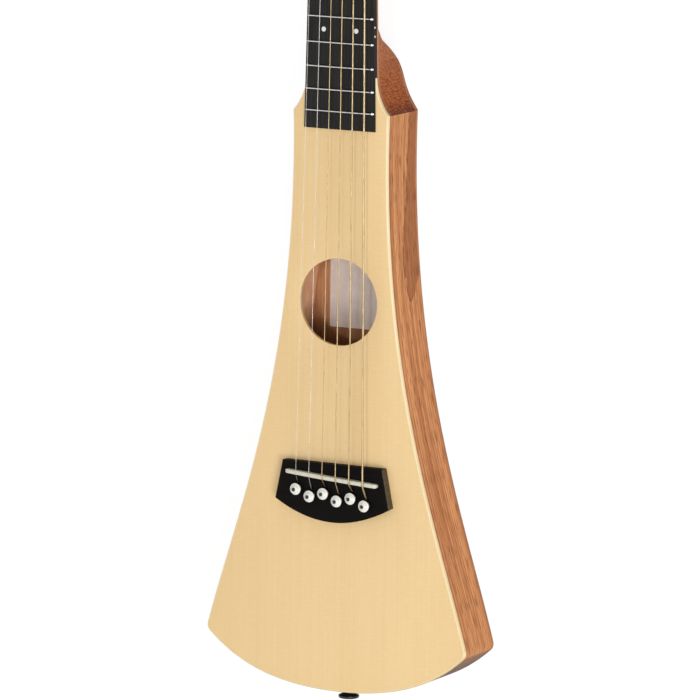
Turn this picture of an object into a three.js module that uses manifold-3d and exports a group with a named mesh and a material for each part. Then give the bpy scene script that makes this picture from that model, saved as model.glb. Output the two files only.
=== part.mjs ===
// Steel-string travel guitar, left-handed, with a slim flared body and a 24 inch scale.
// Millimetres. X runs to the bass side, Y from the scale's end at the saddle to the headstock,
// Z out of the soundboard. The origin is on the flat back, under the scale's end.

import * as THREE from 'three';
import { mergeVertices } from 'three/addons/utils/BufferGeometryUtils.js';
import Module from 'manifold-3d';

const wasm = await Module();
wasm.setup();

// Clearances
const seatGap = 0.1;
const slipGap = 0.3;
const cutOverrun = 1;
const weldDistance = 0.0001;

// Scale and fretboard
const scaleLength = 609.6;
const fretCount = 15;
const fretsPerOctave = 12;
const boardPastLastFret = 12.7;
const nutWidth = 42.9;
const boardWidthAtOctave = 54.2;
const boardRise = 2.4;
const boardCamberRadius = 508;

// Frets
const fretWidth = 2;
const fretHeight = 1;
const fretEndInset = 0.3;
const tangThickness = 0.5;
const tangDepth = 0.9;
const tangEndInset = 2.5;

// Body outline
const bodyHalfWidth = 105.1;
const bodyDepth = 45;
const tailReach = 159.7;
const cornerReach = 123.5;
const cornerTrim = 4;
const shoulderPastBoardEnd = 11.9;
const shoulderHalfWidth = 38;
const spruceTipLength = 26;
const heelPastSpruce = 9.4;
const heelHalfWidth = 21.4;
const waistShares = [0.858, 0.496];
const boutShares = [0.775, 0.2305];
const tailRoundShare = 0.6;
const frontFlareShares = [[0.42, 0.25], [0.04, 0.63]];
const backFlareShares = [[0.22, 0.51], [0.46, 0.63]];

// Body walls
const soundboardThickness = 2.6;
const backThickness = 2.5;
const sideThickness = 2.5;
const soundHoleRadius = 30.9;
const soundHoleReach = 120.8;

// Blocks, plate and braces inside the body
const blockLength = 33.5;
const tailBlockHalfWidth = 30;
const tailBlockThickness = 18;
const bridgePlateHalfWidth = 50;
const bridgePlateLength = 38;
const bridgePlateThickness = 2.5;
const braceWidth = 8;
const braceHeight = 13;
const braceTipHeight = 4;
const braceToHole = 14;
const braceScallopShare = 0.72;

// Neck
const neckDepthAtHeel = 15.1;
const neckDepthAtNut = 13.6;
const heelScoopLength = 24.2;
const voluteLength = 26;
const heelRiseShares = [[0.83, 1.06], [0.54, 1]];
const blockSquareness = 40;
const shaftSquareness = 1.92;
const voluteSquareness = 4;

// Nut
const nutThickness = 5;
const nutCrownOverString = 0.3;
const nutBackDrop = 1.2;
const stringHeightAtNut = 1.7;
const stringPitchAtNut = 7.25;

// Headstock
const headLength = 120;
const headHalfWidth = 30;
const headThickness = 14;
const headTilt = THREE.MathUtils.degToRad(6);
const headOutlineShares = [
  [0.04, 0.735], [0.08, 0.79], [0.12, 0.88], [0.16, 0.95], [0.2, 0.99], [0.25, 1],
  [0.6, 0.955], [0.9, 0.915], [0.95, 0.9], [0.98, 0.86], [1, 0.76],
];

// Bridge
const bridgeThickness = 6.5;
const bridgeFrontReach = 5.5;
const bridgeFrontHalfWidth = 40.3;
const bridgeWingHalfWidth = 46;
const bridgeWingReach = 22.5;
const bridgeBackReach = 36.3;
const bridgeChamfer = 0.5;

// Saddle
const saddleLength = 74;
const saddleThickness = 3;
const saddleSeatDepth = 4;
const saddleReach = 4.25;
const saddleSlant = THREE.MathUtils.degToRad(3.8);
const saddleCrown = 10.9;
const saddleShoulderDrop = 1.2;
const saddleCrownRadius = 508;
const stringPitchAtSaddle = 10.8;

// Bridge pins
const pinPitch = 11;
const pinSetback = 11.65;
const pinStagger = 3.6;
const pinHeadRadius = 4.2;
const pinHeadHeight = 3.4;
const pinHeadRise = 3.1;
const pinShankRadius = 2.3;
const pinTipRadius = 1.9;
const pinLength = 15;

// Strings, thinnest first
const stringCount = 6;
const stringDiameters = [0.3, 0.41, 0.64, 0.81, 1.07, 1.37];
const ballRadius = 2.1;
const windingCount = 2.5;
const windingGap = 0.5;
const windingHeight = 7.5;

// Tuning machines
const firstTunerReach = 31;
const lastTunerToTip = 25;
const postHalfSpacing = 18.5;
const postRadius = 3;
const postRise = 12;
const postWaistRadius = 2.6;
const stringHoleRadius = 1;
const gearTeeth = 14;
const gearRadius = 5;
const gearRootRadius = 4.2;
const gearThickness = 3.6;
const gearDrop = 2.2;
const wormRadius = 2.4;
const wormLength = 10;
const knobShaftRadius = 2;
const housingWall = 1.3;
const housingCornerRadius = 2;
const knobLength = 13;
const knobHalfWidth = 8;
const knobHalfThickness = 3.2;
const knobStandoff = 5;
const knobShares = [[0, 0.36], [0.06, 0.5], [0.3, 0.86], [0.62, 1], [0.88, 0.9], [1, 0.62]];

// Strap button
const buttonBaseRadius = 6.5;
const buttonBaseThickness = 1.6;
const buttonWaistRadius = 4.4;
const buttonCapRadius = 8;
const buttonCapThickness = 2.4;
const buttonHeight = 8.3;
const buttonScrewRadius = 1.9;
const buttonScrewLength = 18;
const buttonScrewHeadRadius = 3.6;
const buttonScrewHeadHeight = 1.6;

// Facets
const sideSteps = 22;
const tailSteps = 12;
const cornerSteps = 4;
const flareSteps = 7;
const heelSteps = 9;
const sectionSteps = 9;
const camberSteps = 6;
const holeSides = 40;
const boreSides = 14;
const pinSides = 12;
const postSides = 12;
const cordSides = 8;
const windingStepsPerTurn = 8;
const knobSides = 12;
const crownSteps = 4;
const saddleSteps = 10;
const arcSteps = 12;

// Levels and places that several pieces share
const neckTop = bodyDepth - soundboardThickness;
const boardTop = bodyDepth + boardRise;
const nutEnd = scaleLength + nutThickness;
const boardEnd = fretReach(fretCount) - boardPastLastFret;
const shoulderReach = boardEnd + shoulderPastBoardEnd;
const spruceReach = shoulderReach + spruceTipLength;
const heelReach = spruceReach + heelPastSpruce;
const shaftStart = heelReach + heelScoopLength;
const blockReach = shoulderReach - blockLength;
const bridgeTop = bodyDepth + bridgeThickness;
const plateBottom = neckTop - bridgePlateThickness;
const slackHoleRadius = pinShankRadius + slipGap;
const stringDropReach = slackHoleRadius + Math.max(...stringDiameters) / 2;
const middle = (stringCount - 1) / 2;
const tunerPitch = (headLength - firstTunerReach - lastTunerToTip) / (stringCount / 2 - 1);

// Finishes
const finishes = {
  spruce: { color: 0xeecf98, roughness: 0.5, metalness: 0 },
  mahogany: { color: 0xb57a50, roughness: 0.6, metalness: 0 },
  ebony: { color: 0x1d1c1c, roughness: 0.55, metalness: 0 },
  bone: { color: 0xe6dfcd, roughness: 0.4, metalness: 0 },
  plasticWhite: { color: 0xf4f2ec, roughness: 0.35, metalness: 0 },
  plasticBlack: { color: 0x141414, roughness: 0.4, metalness: 0 },
  nickelSilver: { color: 0xc9c8c4, roughness: 0.25, metalness: 1 },
  plainSteel: { color: 0xb9bbbd, roughness: 0.3, metalness: 1 },
  bronze: { color: 0xb98a4f, roughness: 0.35, metalness: 1 },
  chrome: { color: 0xd6d8da, roughness: 0.12, metalness: 1 },
};

const guitar = new THREE.Group();

// Adds one named piece to a group.
function addPiece(name, geometry, finish, group = guitar) {
  const mesh = new THREE.Mesh(geometry, new THREE.MeshStandardMaterial(finishes[finish]));
  mesh.name = name;
  group.add(mesh);
  return mesh;
}

// Distance of a fret from the scale's end at the saddle.
function fretReach(fret) {
  return scaleLength * 2 ** (-fret / fretsPerOctave);
}

function boardHalfWidth(y) {
  const spread = (boardWidthAtOctave - nutWidth) / 2;
  return nutWidth / 2 + spread * ((scaleLength - y) / (scaleLength / 2));
}

function boardSurface(x) {
  return boardTop - x ** 2 / (2 * boardCamberRadius);
}

// X of a line of points where it crosses a given Y.
function widthAt(line, y) {
  for (let i = 1; i < line.length; i += 1) {
    const [a, b] = [line[i - 1], line[i]];
    if ((a.y - y) * (b.y - y) <= 0 && a.y !== b.y) {
      return THREE.MathUtils.lerp(a.x, b.x, (y - a.y) / (b.y - a.y));
    }
  }
  throw new Error('The line does not reach that far');
}

// Signed volume of an indexed geometry.
function volumeOf(positions, indices) {
  const corner = (k) => new THREE.Vector3().fromArray(positions, 3 * indices[k]);
  let total = 0;
  for (let k = 0; k < indices.length; k += 3) {
    total += corner(k).dot(corner(k + 1).cross(corner(k + 2)));
  }
  return total;
}

// A closed skin over rings that have the same number of points, with a flat cap at each end.
function loft(rings) {
  const count = rings[0].length;
  const positions = rings.flat().flatMap((point) => point.toArray());
  const indices = [];
  for (let ring = 0; ring < rings.length - 1; ring += 1) {
    for (let i = 0; i < count; i += 1) {
      const a = ring * count + i;
      const b = ring * count + ((i + 1) % count);
      indices.push(a, b, b + count, a, b + count, a + count);
    }
  }
  const cap = (ring, flip) => {
    const flat = flattened(ring);
    const turn = Math.sign(THREE.ShapeUtils.area(flat)) * (flip ? -1 : 1);
    return THREE.ShapeUtils.triangulateShape(flat, []).map(([a, b, c]) => {
      const area = THREE.ShapeUtils.area([flat[a], flat[b], flat[c]]);
      return area * turn > 0 ? [a, b, c] : [a, c, b];
    });
  };
  cap(rings[0], true).forEach((face) => indices.push(...face));
  const last = (rings.length - 1) * count;
  cap(rings[rings.length - 1], false).forEach((face) => indices.push(...face.map((i) => i + last)));
  if (volumeOf(positions, indices) < 0) {
    for (let k = 0; k < indices.length; k += 3) {
      [indices[k + 1], indices[k + 2]] = [indices[k + 2], indices[k + 1]];
    }
  }
  const geometry = new THREE.BufferGeometry();
  geometry.setAttribute('position', new THREE.Float32BufferAttribute(positions, 3));
  geometry.setIndex(indices);
  geometry.computeVertexNormals();
  return geometry;
}

// A ring's points in its own plane, turning the way they turn about the ring's normal.
function flattened(ring) {
  const normal = new THREE.Vector3();
  ring.forEach((point, i) => {
    const next = ring[(i + 1) % ring.length];
    normal.add(point.clone().sub(ring[0]).cross(next.clone().sub(ring[0])));
  });
  normal.normalize();
  const across = ring.reduce((best, point) => {
    const offset = point.clone().sub(ring[0]);
    return offset.lengthSq() > best.lengthSq() ? offset : best;
  }, new THREE.Vector3()).normalize();
  const along = normal.clone().cross(across);
  return ring.map((point) => new THREE.Vector2(point.dot(across), point.dot(along)));
}

// The prism over an outline between two levels.
function prism(outline, low, high) {
  const shape = new THREE.Shape(outline);
  const geometry = new THREE.ExtrudeGeometry(shape, { depth: high - low, bevelEnabled: false });
  return geometry.translate(0, 0, low);
}

function box(xRange, yRange, zRange) {
  const span = ([low, high]) => high - low;
  const centre = ([low, high]) => (low + high) / 2;
  const geometry = new THREE.BoxGeometry(span(xRange), span(yRange), span(zRange));
  return geometry.translate(centre(xRange), centre(yRange), centre(zRange));
}

// An upright cylinder at a place, between two levels.
function rod(radius, x, y, low, high, sides = boreSides) {
  const geometry = new THREE.CylinderGeometry(radius, radius, high - low, sides);
  return geometry.rotateX(Math.PI / 2).translate(x, y, (low + high) / 2);
}

function toSolid(geometry) {
  const bare = geometry.clone();
  bare.deleteAttribute('normal');
  bare.deleteAttribute('uv');
  const merged = mergeVertices(bare, weldDistance);
  const vertProperties = Float32Array.from(merged.attributes.position.array);
  const triVerts = Uint32Array.from(merged.index.array);
  return new wasm.Manifold(new wasm.Mesh({ numProp: 3, vertProperties, triVerts }));
}

function toGeometry(solid) {
  const { vertProperties, triVerts } = solid.getMesh();
  const geometry = new THREE.BufferGeometry();
  geometry.setAttribute('position', new THREE.BufferAttribute(vertProperties, 3));
  geometry.setIndex(new THREE.BufferAttribute(triVerts, 1));
  geometry.computeVertexNormals();
  return geometry;
}

function cut(geometry, tools) {
  return toGeometry(tools.reduce((solid, tool) => solid.subtract(toSolid(tool)), toSolid(geometry)));
}

function common(first, second) {
  return toGeometry(toSolid(first).intersect(toSolid(second)));
}

function join(geometries) {
  const [first, ...others] = geometries.map(toSolid);
  return toGeometry(others.reduce((solid, other) => solid.add(other), first));
}

// Mirrors the right half of an outline that runs from its top to its bottom on the centreline.
function bothHalves(half) {
  const left = half.map((point) => new THREE.Vector2(-point.x, point.y)).reverse();
  return [...half, ...left.filter((point) => point.x < 0)].reverse();
}

// Body outline

function tailLine(x) {
  const share = x / bodyHalfWidth;
  const rise = tailRoundShare * share ** 2 + (1 - tailRoundShare) * share ** 4;
  return (tailReach - cornerReach) * rise - tailReach;
}

// Right half of the rim, from the shoulder round the corner to the middle of the tail.
function rimLine() {
  const length = shoulderReach + cornerReach;
  const [waistWidthShare, waistLengthShare] = waistShares;
  const [boutWidthShare, boutLengthShare] = boutShares;
  const corner = new THREE.Vector2(bodyHalfWidth, -cornerReach);
  const side = new THREE.CubicBezierCurve(
    new THREE.Vector2(shoulderHalfWidth, shoulderReach),
    new THREE.Vector2(shoulderHalfWidth * waistWidthShare, shoulderReach - length * waistLengthShare),
    new THREE.Vector2(bodyHalfWidth * boutWidthShare, length * boutLengthShare - cornerReach),
    corner,
  ).getPoints(sideSteps);
  const tail = [];
  for (let step = 0; step <= tailSteps; step += 1) {
    const x = bodyHalfWidth * (1 - step / tailSteps);
    tail.push(new THREE.Vector2(x, tailLine(x)));
  }
  const beyondCorner = (point) => point.distanceTo(corner) > cornerTrim;
  const towards = (point) => {
    const offset = point.clone().sub(corner);
    return offset.setLength(cornerTrim).add(corner);
  };
  const bend = new THREE.QuadraticBezierCurve(towards(side[sideSteps - 1]), corner, towards(tail[1]));
  return [...side.filter(beyondCorner), ...bend.getPoints(cornerSteps), ...tail.filter(beyondCorner)];
}

// A line moved inwards by a distance, where inwards is to the right of its run.
function inset(line, distance) {
  return line.map((point, i) => {
    const before = line[Math.max(i - 1, 0)];
    const after = line[Math.min(i + 1, line.length - 1)];
    const run = after.clone().sub(before).normalize();
    return new THREE.Vector2(point.x + run.y * distance, point.y - run.x * distance);
  });
}

// A scooped shoulder line from the top of its run down to the shoulder.
function flareLine(endHalfWidth, endReach, shares) {
  const place = ([widthShare, lengthShare]) => new THREE.Vector2(
    THREE.MathUtils.lerp(endHalfWidth, shoulderHalfWidth, widthShare),
    THREE.MathUtils.lerp(shoulderReach, endReach, lengthShare),
  );
  const curve = new THREE.CubicBezierCurve(
    place([1, 0]),
    place(shares[0]),
    place(shares[1]),
    place([0, 1]),
  );
  return curve.getPoints(flareSteps).reverse();
}

const rim = rimLine();
const rimInside = inset(rim, sideThickness);
const frontFlare = flareLine(boardHalfWidth(spruceReach), spruceReach, frontFlareShares);
const backFlare = flareLine(heelHalfWidth, heelReach, backFlareShares);

// Strings' places

function stringShift(string) {
  return string - middle;
}

function saddleLine(x) {
  return -saddleReach - Math.tan(saddleSlant) * x;
}

function saddleTop(x) {
  return bodyDepth + saddleCrown - x ** 2 / (2 * saddleCrownRadius);
}

// Places of the six bridge pins, in two staggered rows along the saddle.
const pinPlaces = [...Array(stringCount).keys()].map((string) => {
  const x = stringShift(string) * pinPitch;
  return new THREE.Vector2(x, saddleLine(x) - pinSetback - (string % 2) * pinStagger);
});

// Tools that cut each pin's hole and the string's way beside it.
function pinHoles(low, high, wayLength) {
  const wayHalfWidth = Math.max(...stringDiameters) / 2 + slipGap;
  return pinPlaces.flatMap(({ x, y }) => [
    rod(slackHoleRadius, x, y, low, high),
    box([x - wayHalfWidth, x + wayHalfWidth], [y, y + wayLength], [low, high]),
  ]);
}

const shortWay = stringDropReach + Math.max(...stringDiameters) / 2 + slipGap;
const rampWay = pinHeadRadius + Math.max(...stringDiameters) + slipGap * 3;

// Soundboard and back

function makeSoundboard() {
  const outline = bothHalves([...frontFlare.slice(0, -1), ...rim]);
  const low = neckTop - cutOverrun;
  const high = bodyDepth + cutOverrun;
  return cut(prism(outline, neckTop, bodyDepth), [
    rod(soundHoleRadius, 0, soundHoleReach, low, high, holeSides),
    ...pinHoles(low, high, shortWay),
  ]);
}

addPiece('soundboard', makeSoundboard(), 'spruce');
addPiece('back_plate', prism(bothHalves([...backFlare.slice(0, -1), ...rim]), 0, backThickness), 'mahogany');

// Sides, which meet at the middle of the tail

const buttonHeightOnTail = bodyDepth / 2;

// A tool along Y for the strap button's screw.
function buttonScrewBore(radius) {
  const length = buttonScrewLength + buttonHeight;
  const bore = new THREE.CylinderGeometry(radius, radius, 2 * length, boreSides);
  return bore.translate(0, -tailReach, buttonHeightOnTail);
}

function makeSide(sign) {
  const trimmed = (line) => line.map(({ x, y }) => new THREE.Vector2(
    Math.max(x, seatGap / 2),
    Math.min(y, shoulderReach - slipGap),
  ));
  const outline = [...trimmed(rim), ...trimmed(rimInside).reverse()];
  const placed = outline.map((point) => new THREE.Vector2(point.x * sign, point.y));
  return cut(prism(placed, backThickness, neckTop), [buttonScrewBore(buttonScrewRadius + slipGap)]);
}

addPiece('side_treble', makeSide(-1), 'mahogany');
addPiece('side_bass', makeSide(1), 'mahogany');

function makeTailBlock() {
  const outline = [];
  for (let step = -tailSteps; step <= tailSteps; step += 1) {
    const x = (tailBlockHalfWidth * step) / tailSteps;
    outline.push(new THREE.Vector2(x, tailLine(x) + sideThickness + slipGap));
  }
  const front = tailBlockThickness + sideThickness - tailReach;
  outline.push(new THREE.Vector2(tailBlockHalfWidth, front), new THREE.Vector2(-tailBlockHalfWidth, front));
  return cut(prism(outline, backThickness, neckTop), [buttonScrewBore(buttonScrewRadius + slipGap)]);
}

addPiece('tail_block', makeTailBlock(), 'mahogany');

// Braces and bridge plate under the soundboard

function makeBrace(y) {
  const half = widthAt(rimInside, y) - braceWidth / 2;
  const top = neckTop;
  const outline = [
    new THREE.Vector2(-half, top),
    new THREE.Vector2(-half, top - braceTipHeight),
    new THREE.Vector2(-half * braceScallopShare, top - braceHeight),
    new THREE.Vector2(half * braceScallopShare, top - braceHeight),
    new THREE.Vector2(half, top - braceTipHeight),
    new THREE.Vector2(half, top),
  ];
  const geometry = prism(outline, -braceWidth / 2, braceWidth / 2);
  return geometry.rotateX(Math.PI / 2).translate(0, y, 0);
}

addPiece('brace_upper', makeBrace(soundHoleReach + soundHoleRadius + braceToHole), 'spruce');
addPiece('brace_lower', makeBrace(soundHoleReach - soundHoleRadius - braceToHole), 'spruce');

function makeBridgePlate() {
  const middleReach = (bridgeFrontReach - bridgeBackReach) / 2;
  const plate = box(
    [-bridgePlateHalfWidth, bridgePlateHalfWidth],
    [middleReach - bridgePlateLength / 2, middleReach + bridgePlateLength / 2],
    [plateBottom, neckTop],
  );
  return cut(plate, pinHoles(plateBottom - cutOverrun, neckTop + cutOverrun, shortWay));
}

addPiece('bridge_plate', makeBridgePlate(), 'mahogany');

// Neck with its heel block and headstock

const head = new THREE.Group();
head.position.set(0, nutEnd, neckTop);
head.rotation.x = -headTilt;
guitar.add(head);
guitar.updateMatrixWorld(true);

// One section of the neck: flat on top, and rounder below the smaller its squareness.
function neckSection({ topHalf, bottomHalf, top, bottom, y, squareness }) {
  const right = [];
  for (let step = 0; step <= sectionSteps; step += 1) {
    const angle = (Math.PI / 2) * (step / sectionSteps);
    const drop = Math.sin(angle) ** (2 / squareness);
    const half = THREE.MathUtils.lerp(topHalf, bottomHalf, drop);
    const x = step === sectionSteps ? 0 : half * Math.cos(angle) ** (2 / squareness);
    right.push(new THREE.Vector3(x, y, THREE.MathUtils.lerp(top, bottom, drop)));
  }
  const left = right.slice(0, -1).map((point) => new THREE.Vector3(-point.x, point.y, point.z));
  return [...right, ...left.reverse()];
}

function blockSection(y) {
  const half = widthAt(rimInside, y) - slipGap;
  const squareness = blockSquareness;
  return neckSection({ topHalf: half, bottomHalf: half, top: neckTop, bottom: backThickness, y, squareness });
}

function flareSection(y) {
  return neckSection({
    topHalf: y < spruceReach ? widthAt(frontFlare, y) : boardHalfWidth(y),
    bottomHalf: widthAt(backFlare, y),
    top: neckTop,
    bottom: backThickness,
    y,
    squareness: blockSquareness,
  });
}

// Underside of the heel, from the end of the back up to the neck's shaft.
const heelRise = new THREE.CubicBezierCurve(
  new THREE.Vector2(heelReach + slipGap, 0),
  ...heelRiseShares.map(([lengthShare, heightShare]) => new THREE.Vector2(
    THREE.MathUtils.lerp(heelReach, shaftStart, lengthShare),
    (neckTop - neckDepthAtHeel) * heightShare,
  )),
  new THREE.Vector2(shaftStart, neckTop - neckDepthAtHeel),
);

function heelSection(share) {
  const { x: y, y: bottom } = heelRise.getPoint(share);
  const along = (y - heelReach) / (shaftStart - heelReach);
  const topHalf = boardHalfWidth(y);
  return neckSection({
    topHalf,
    bottomHalf: THREE.MathUtils.lerp(heelHalfWidth, topHalf, along),
    top: neckTop,
    bottom,
    y,
    squareness: blockSquareness ** (1 - along) * shaftSquareness ** along,
  });
}

function shaftSection(y, squareness = shaftSquareness) {
  const share = (y - shaftStart) / (nutEnd - shaftStart);
  const half = y < scaleLength ? boardHalfWidth(y) : nutWidth / 2;
  const bottom = neckTop - THREE.MathUtils.lerp(neckDepthAtHeel, neckDepthAtNut, share);
  return neckSection({ topHalf: half, bottomHalf: half, top: neckTop, bottom, y, squareness });
}

function headSection([lengthShare, widthShare], index) {
  const half = headHalfWidth * widthShare;
  const settled = Math.min((index + 1) / cornerSteps, 1);
  const section = neckSection({
    topHalf: half,
    bottomHalf: half,
    top: 0,
    bottom: -headThickness,
    y: headLength * lengthShare,
    squareness: voluteSquareness ** (1 - settled) * blockSquareness ** settled,
  });
  return section.map((point) => point.applyMatrix4(head.matrixWorld));
}

function tunerPlace(string) {
  const onBassSide = string > middle;
  const rank = onBassSide ? stringCount - 1 - string : string;
  const sign = onBassSide ? 1 : -1;
  return { sign, x: sign * postHalfSpacing, y: firstTunerReach + rank * tunerPitch };
}

function makeNeck() {
  const stations = (from, to, steps) => [...Array(steps).keys()].map((i) => from + ((to - from) * i) / steps);
  const rings = [
    blockSection(blockReach),
    blockSection(shoulderReach),
    ...stations(shoulderReach, spruceReach, flareSteps).map(flareSection),
    ...stations(spruceReach, heelReach, crownSteps).map(flareSection),
    flareSection(heelReach),
    ...stations(0, 1, heelSteps).map(heelSection),
    shaftSection(shaftStart),
    shaftSection(nutEnd - voluteLength),
    shaftSection(scaleLength, voluteSquareness),
    shaftSection(nutEnd, voluteSquareness),
    ...headOutlineShares.map(headSection),
  ];
  const holes = [...Array(stringCount).keys()].map((string) => {
    const { x, y } = tunerPlace(string);
    const hole = rod(postRadius + slipGap, x, y, -headThickness - cutOverrun, cutOverrun, postSides);
    return hole.applyMatrix4(head.matrixWorld);
  });
  return cut(loft(rings), holes);
}

addPiece('neck', makeNeck(), 'mahogany');

// Fretboard, cambered and rebated over the soundboard's tip

function boardSection(y, bottom) {
  const half = boardHalfWidth(y);
  const section = [new THREE.Vector3(-half, y, bottom), new THREE.Vector3(half, y, bottom)];
  for (let step = 0; step <= camberSteps; step += 1) {
    const x = half * (1 - (2 * step) / camberSteps);
    section.push(new THREE.Vector3(x, y, boardSurface(x)));
  }
  return section;
}

const frets = [...Array(fretCount).keys()].map((index) => index + 1);
const tangBottom = boardSurface(boardHalfWidth(boardEnd)) - tangDepth;

function makeFretboard() {
  const step = spruceReach + seatGap;
  const board = loft([
    boardSection(boardEnd, bodyDepth),
    boardSection(step, bodyDepth),
    boardSection(step, neckTop),
    boardSection(scaleLength, neckTop),
  ]);
  const slots = frets.map((fret) => {
    const y = fretReach(fret);
    const half = boardHalfWidth(y) - tangEndInset + slipGap;
    const halfSlot = tangThickness / 2 + slipGap;
    return box([-half, half], [y - halfSlot, y + halfSlot], [tangBottom - slipGap, boardTop + cutOverrun]);
  });
  return cut(board, slots);
}

addPiece('fretboard', makeFretboard(), 'ebony');

function makeFret(fret) {
  const y = fretReach(fret);
  const half = boardHalfWidth(y) - fretEndInset;
  const sections = [];
  for (let step = 0; step <= camberSteps; step += 1) {
    const x = half * ((2 * step) / camberSteps - 1);
    const base = boardSurface(x) + seatGap;
    const section = [];
    for (let turn = 0; turn <= crownSteps; turn += 1) {
      const angle = (Math.PI * turn) / crownSteps;
      const across = (fretWidth / 2) * Math.cos(angle);
      section.push(new THREE.Vector3(x, y + across, base + fretHeight * Math.sin(angle)));
    }
    sections.push(section);
  }
  const tangHalf = boardHalfWidth(y) - tangEndInset;
  const tangTop = boardSurface(half) + fretHeight / 2;
  const halfTang = tangThickness / 2;
  const tang = box([-tangHalf, tangHalf], [y - halfTang, y + halfTang], [tangBottom, tangTop]);
  return join([loft(sections), tang]);
}

frets.forEach((fret) => {
  addPiece(`fret_${String(fret).padStart(2, '0')}`, makeFret(fret), 'nickelSilver');
});

// Nut, with a notch for each string

const stringLevelAtNut = boardTop + stringHeightAtNut;

function makeNut() {
  const crown = stringLevelAtNut + nutCrownOverString;
  const back = nutEnd;
  const front = scaleLength + seatGap;
  const profile = [
    new THREE.Vector2(front, neckTop),
    new THREE.Vector2(back, neckTop),
    new THREE.Vector2(back, crown - nutBackDrop),
    new THREE.Vector2((front + back) / 2, crown),
    new THREE.Vector2(front, crown),
  ];
  const bar = new THREE.ExtrudeGeometry(new THREE.Shape(profile), { depth: nutWidth, bevelEnabled: false });
  // The profile is drawn in Y and Z, and its depth becomes X.
  const frame = new THREE.Matrix4().makeBasis(
    new THREE.Vector3(0, 1, 0),
    new THREE.Vector3(0, 0, 1),
    new THREE.Vector3(1, 0, 0),
  );
  bar.applyMatrix4(frame).translate(-nutWidth / 2, 0, 0);
  const notches = stringDiameters.map((diameter, string) => {
    const x = stringShift(string) * stringPitchAtNut;
    const reach = diameter / 2 + slipGap;
    const floor = stringLevelAtNut - nutBackDrop - reach;
    return box([x - reach, x + reach], [front - cutOverrun, back + cutOverrun], [floor, crown + cutOverrun]);
  });
  return cut(bar, notches);
}

addPiece('nut', makeNut(), 'bone');

// Bridge, chamfered on its upper edge

function bridgeOutline(shrink) {
  const frontHalf = bridgeFrontHalfWidth - shrink;
  const wingHalf = bridgeWingHalfWidth - shrink;
  const backReach = bridgeBackReach - shrink;
  const half = [new THREE.Vector2(frontHalf, bridgeFrontReach - shrink)];
  for (let step = 0; step <= arcSteps; step += 1) {
    const share = 1 - step / arcSteps;
    const sag = (backReach - bridgeWingReach) * share ** 2;
    half.push(new THREE.Vector2(wingHalf * share, sag - backReach));
  }
  return bothHalves(half);
}

function atLevel(outline, level) {
  return outline.map((point) => new THREE.Vector3(point.x, point.y, level));
}

// A bar with round ends along the saddle's slanted line.
function saddleBar(length, thickness, low, high) {
  const shape = new THREE.Shape();
  const straight = (length - thickness) / 2;
  shape.absarc(straight, 0, thickness / 2, -Math.PI / 2, Math.PI / 2, false);
  shape.absarc(-straight, 0, thickness / 2, Math.PI / 2, Math.PI * 1.5, false);
  const outline = shape.extractPoints(cornerSteps).shape;
  return prism(outline.slice(0, -1), low, high);
}

function placeOnSaddleLine(geometry) {
  return geometry.rotateZ(-saddleSlant).translate(0, -saddleReach, 0);
}

const saddleSeat = bridgeTop - saddleSeatDepth;

function makeBridge() {
  const blank = loft([
    atLevel(bridgeOutline(0), bodyDepth),
    atLevel(bridgeOutline(0), bridgeTop - bridgeChamfer),
    atLevel(bridgeOutline(bridgeChamfer), bridgeTop),
  ]);
  const slotLength = saddleLength + 2 * slipGap;
  const slotThickness = saddleThickness + 2 * slipGap;
  const slot = saddleBar(slotLength, slotThickness, saddleSeat, bridgeTop + cutOverrun);
  return cut(blank, [
    placeOnSaddleLine(slot),
    ...pinHoles(bodyDepth - cutOverrun, bridgeTop + cutOverrun, rampWay),
  ]);
}

addPiece('bridge', makeBridge(), 'ebony');

function makeSaddle() {
  const half = saddleLength / 2;
  const outline = [
    new THREE.Vector2(-half, saddleSeat + slipGap),
    new THREE.Vector2(half, saddleSeat + slipGap),
    new THREE.Vector2(half, saddleTop(half) - saddleShoulderDrop),
  ];
  for (let step = 0; step <= saddleSteps; step += 1) {
    const x = (half - saddleShoulderDrop) * (1 - (2 * step) / saddleSteps);
    outline.push(new THREE.Vector2(x, saddleTop(x)));
  }
  outline.push(new THREE.Vector2(-half, saddleTop(half) - saddleShoulderDrop));
  const slab = prism(outline, -saddleThickness, saddleThickness).rotateX(Math.PI / 2);
  const bar = saddleBar(saddleLength, saddleThickness, bodyDepth, bodyDepth + saddleCrown + cutOverrun);
  return placeOnSaddleLine(common(slab, bar));
}

addPiece('saddle', makeSaddle(), 'bone');

// Bridge pins, whose heads stand clear of the bridge

function makePin() {
  const foot = pinHeadRise;
  const top = foot + pinHeadHeight;
  const step = pinHeadHeight / 4;
  const profile = [
    new THREE.Vector2(0, slipGap - pinLength),
    new THREE.Vector2(pinTipRadius, slipGap - pinLength),
    new THREE.Vector2(pinShankRadius, slipGap),
    new THREE.Vector2(pinShankRadius, foot),
    new THREE.Vector2(pinHeadRadius - step, foot),
    new THREE.Vector2(pinHeadRadius, foot + step / 2),
    new THREE.Vector2(pinHeadRadius, foot + step),
    new THREE.Vector2(pinHeadRadius - step, foot + 2 * step),
    new THREE.Vector2(pinHeadRadius / 2, top - step / 2),
    new THREE.Vector2(0, top),
  ];
  return new THREE.LatheGeometry(profile, pinSides).rotateX(Math.PI / 2);
}

pinPlaces.forEach(({ x, y }, string) => {
  const pin = addPiece(`bridge_pin_${string + 1}`, makePin(), 'plasticWhite');
  pin.position.set(x, y, bridgeTop);
});

// Strings, each whole from its ball under the bridge plate to its turns round the post

class Route extends THREE.Curve {
  constructor(points) {
    super();
    this.points = points;
  }

  getUtoTmapping(u) {
    return u;
  }

  getPoint(share, target = new THREE.Vector3()) {
    const place = share * (this.points.length - 1);
    const index = Math.min(Math.floor(place), this.points.length - 2);
    return target.lerpVectors(this.points[index], this.points[index + 1], place - index);
  }
}

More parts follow.
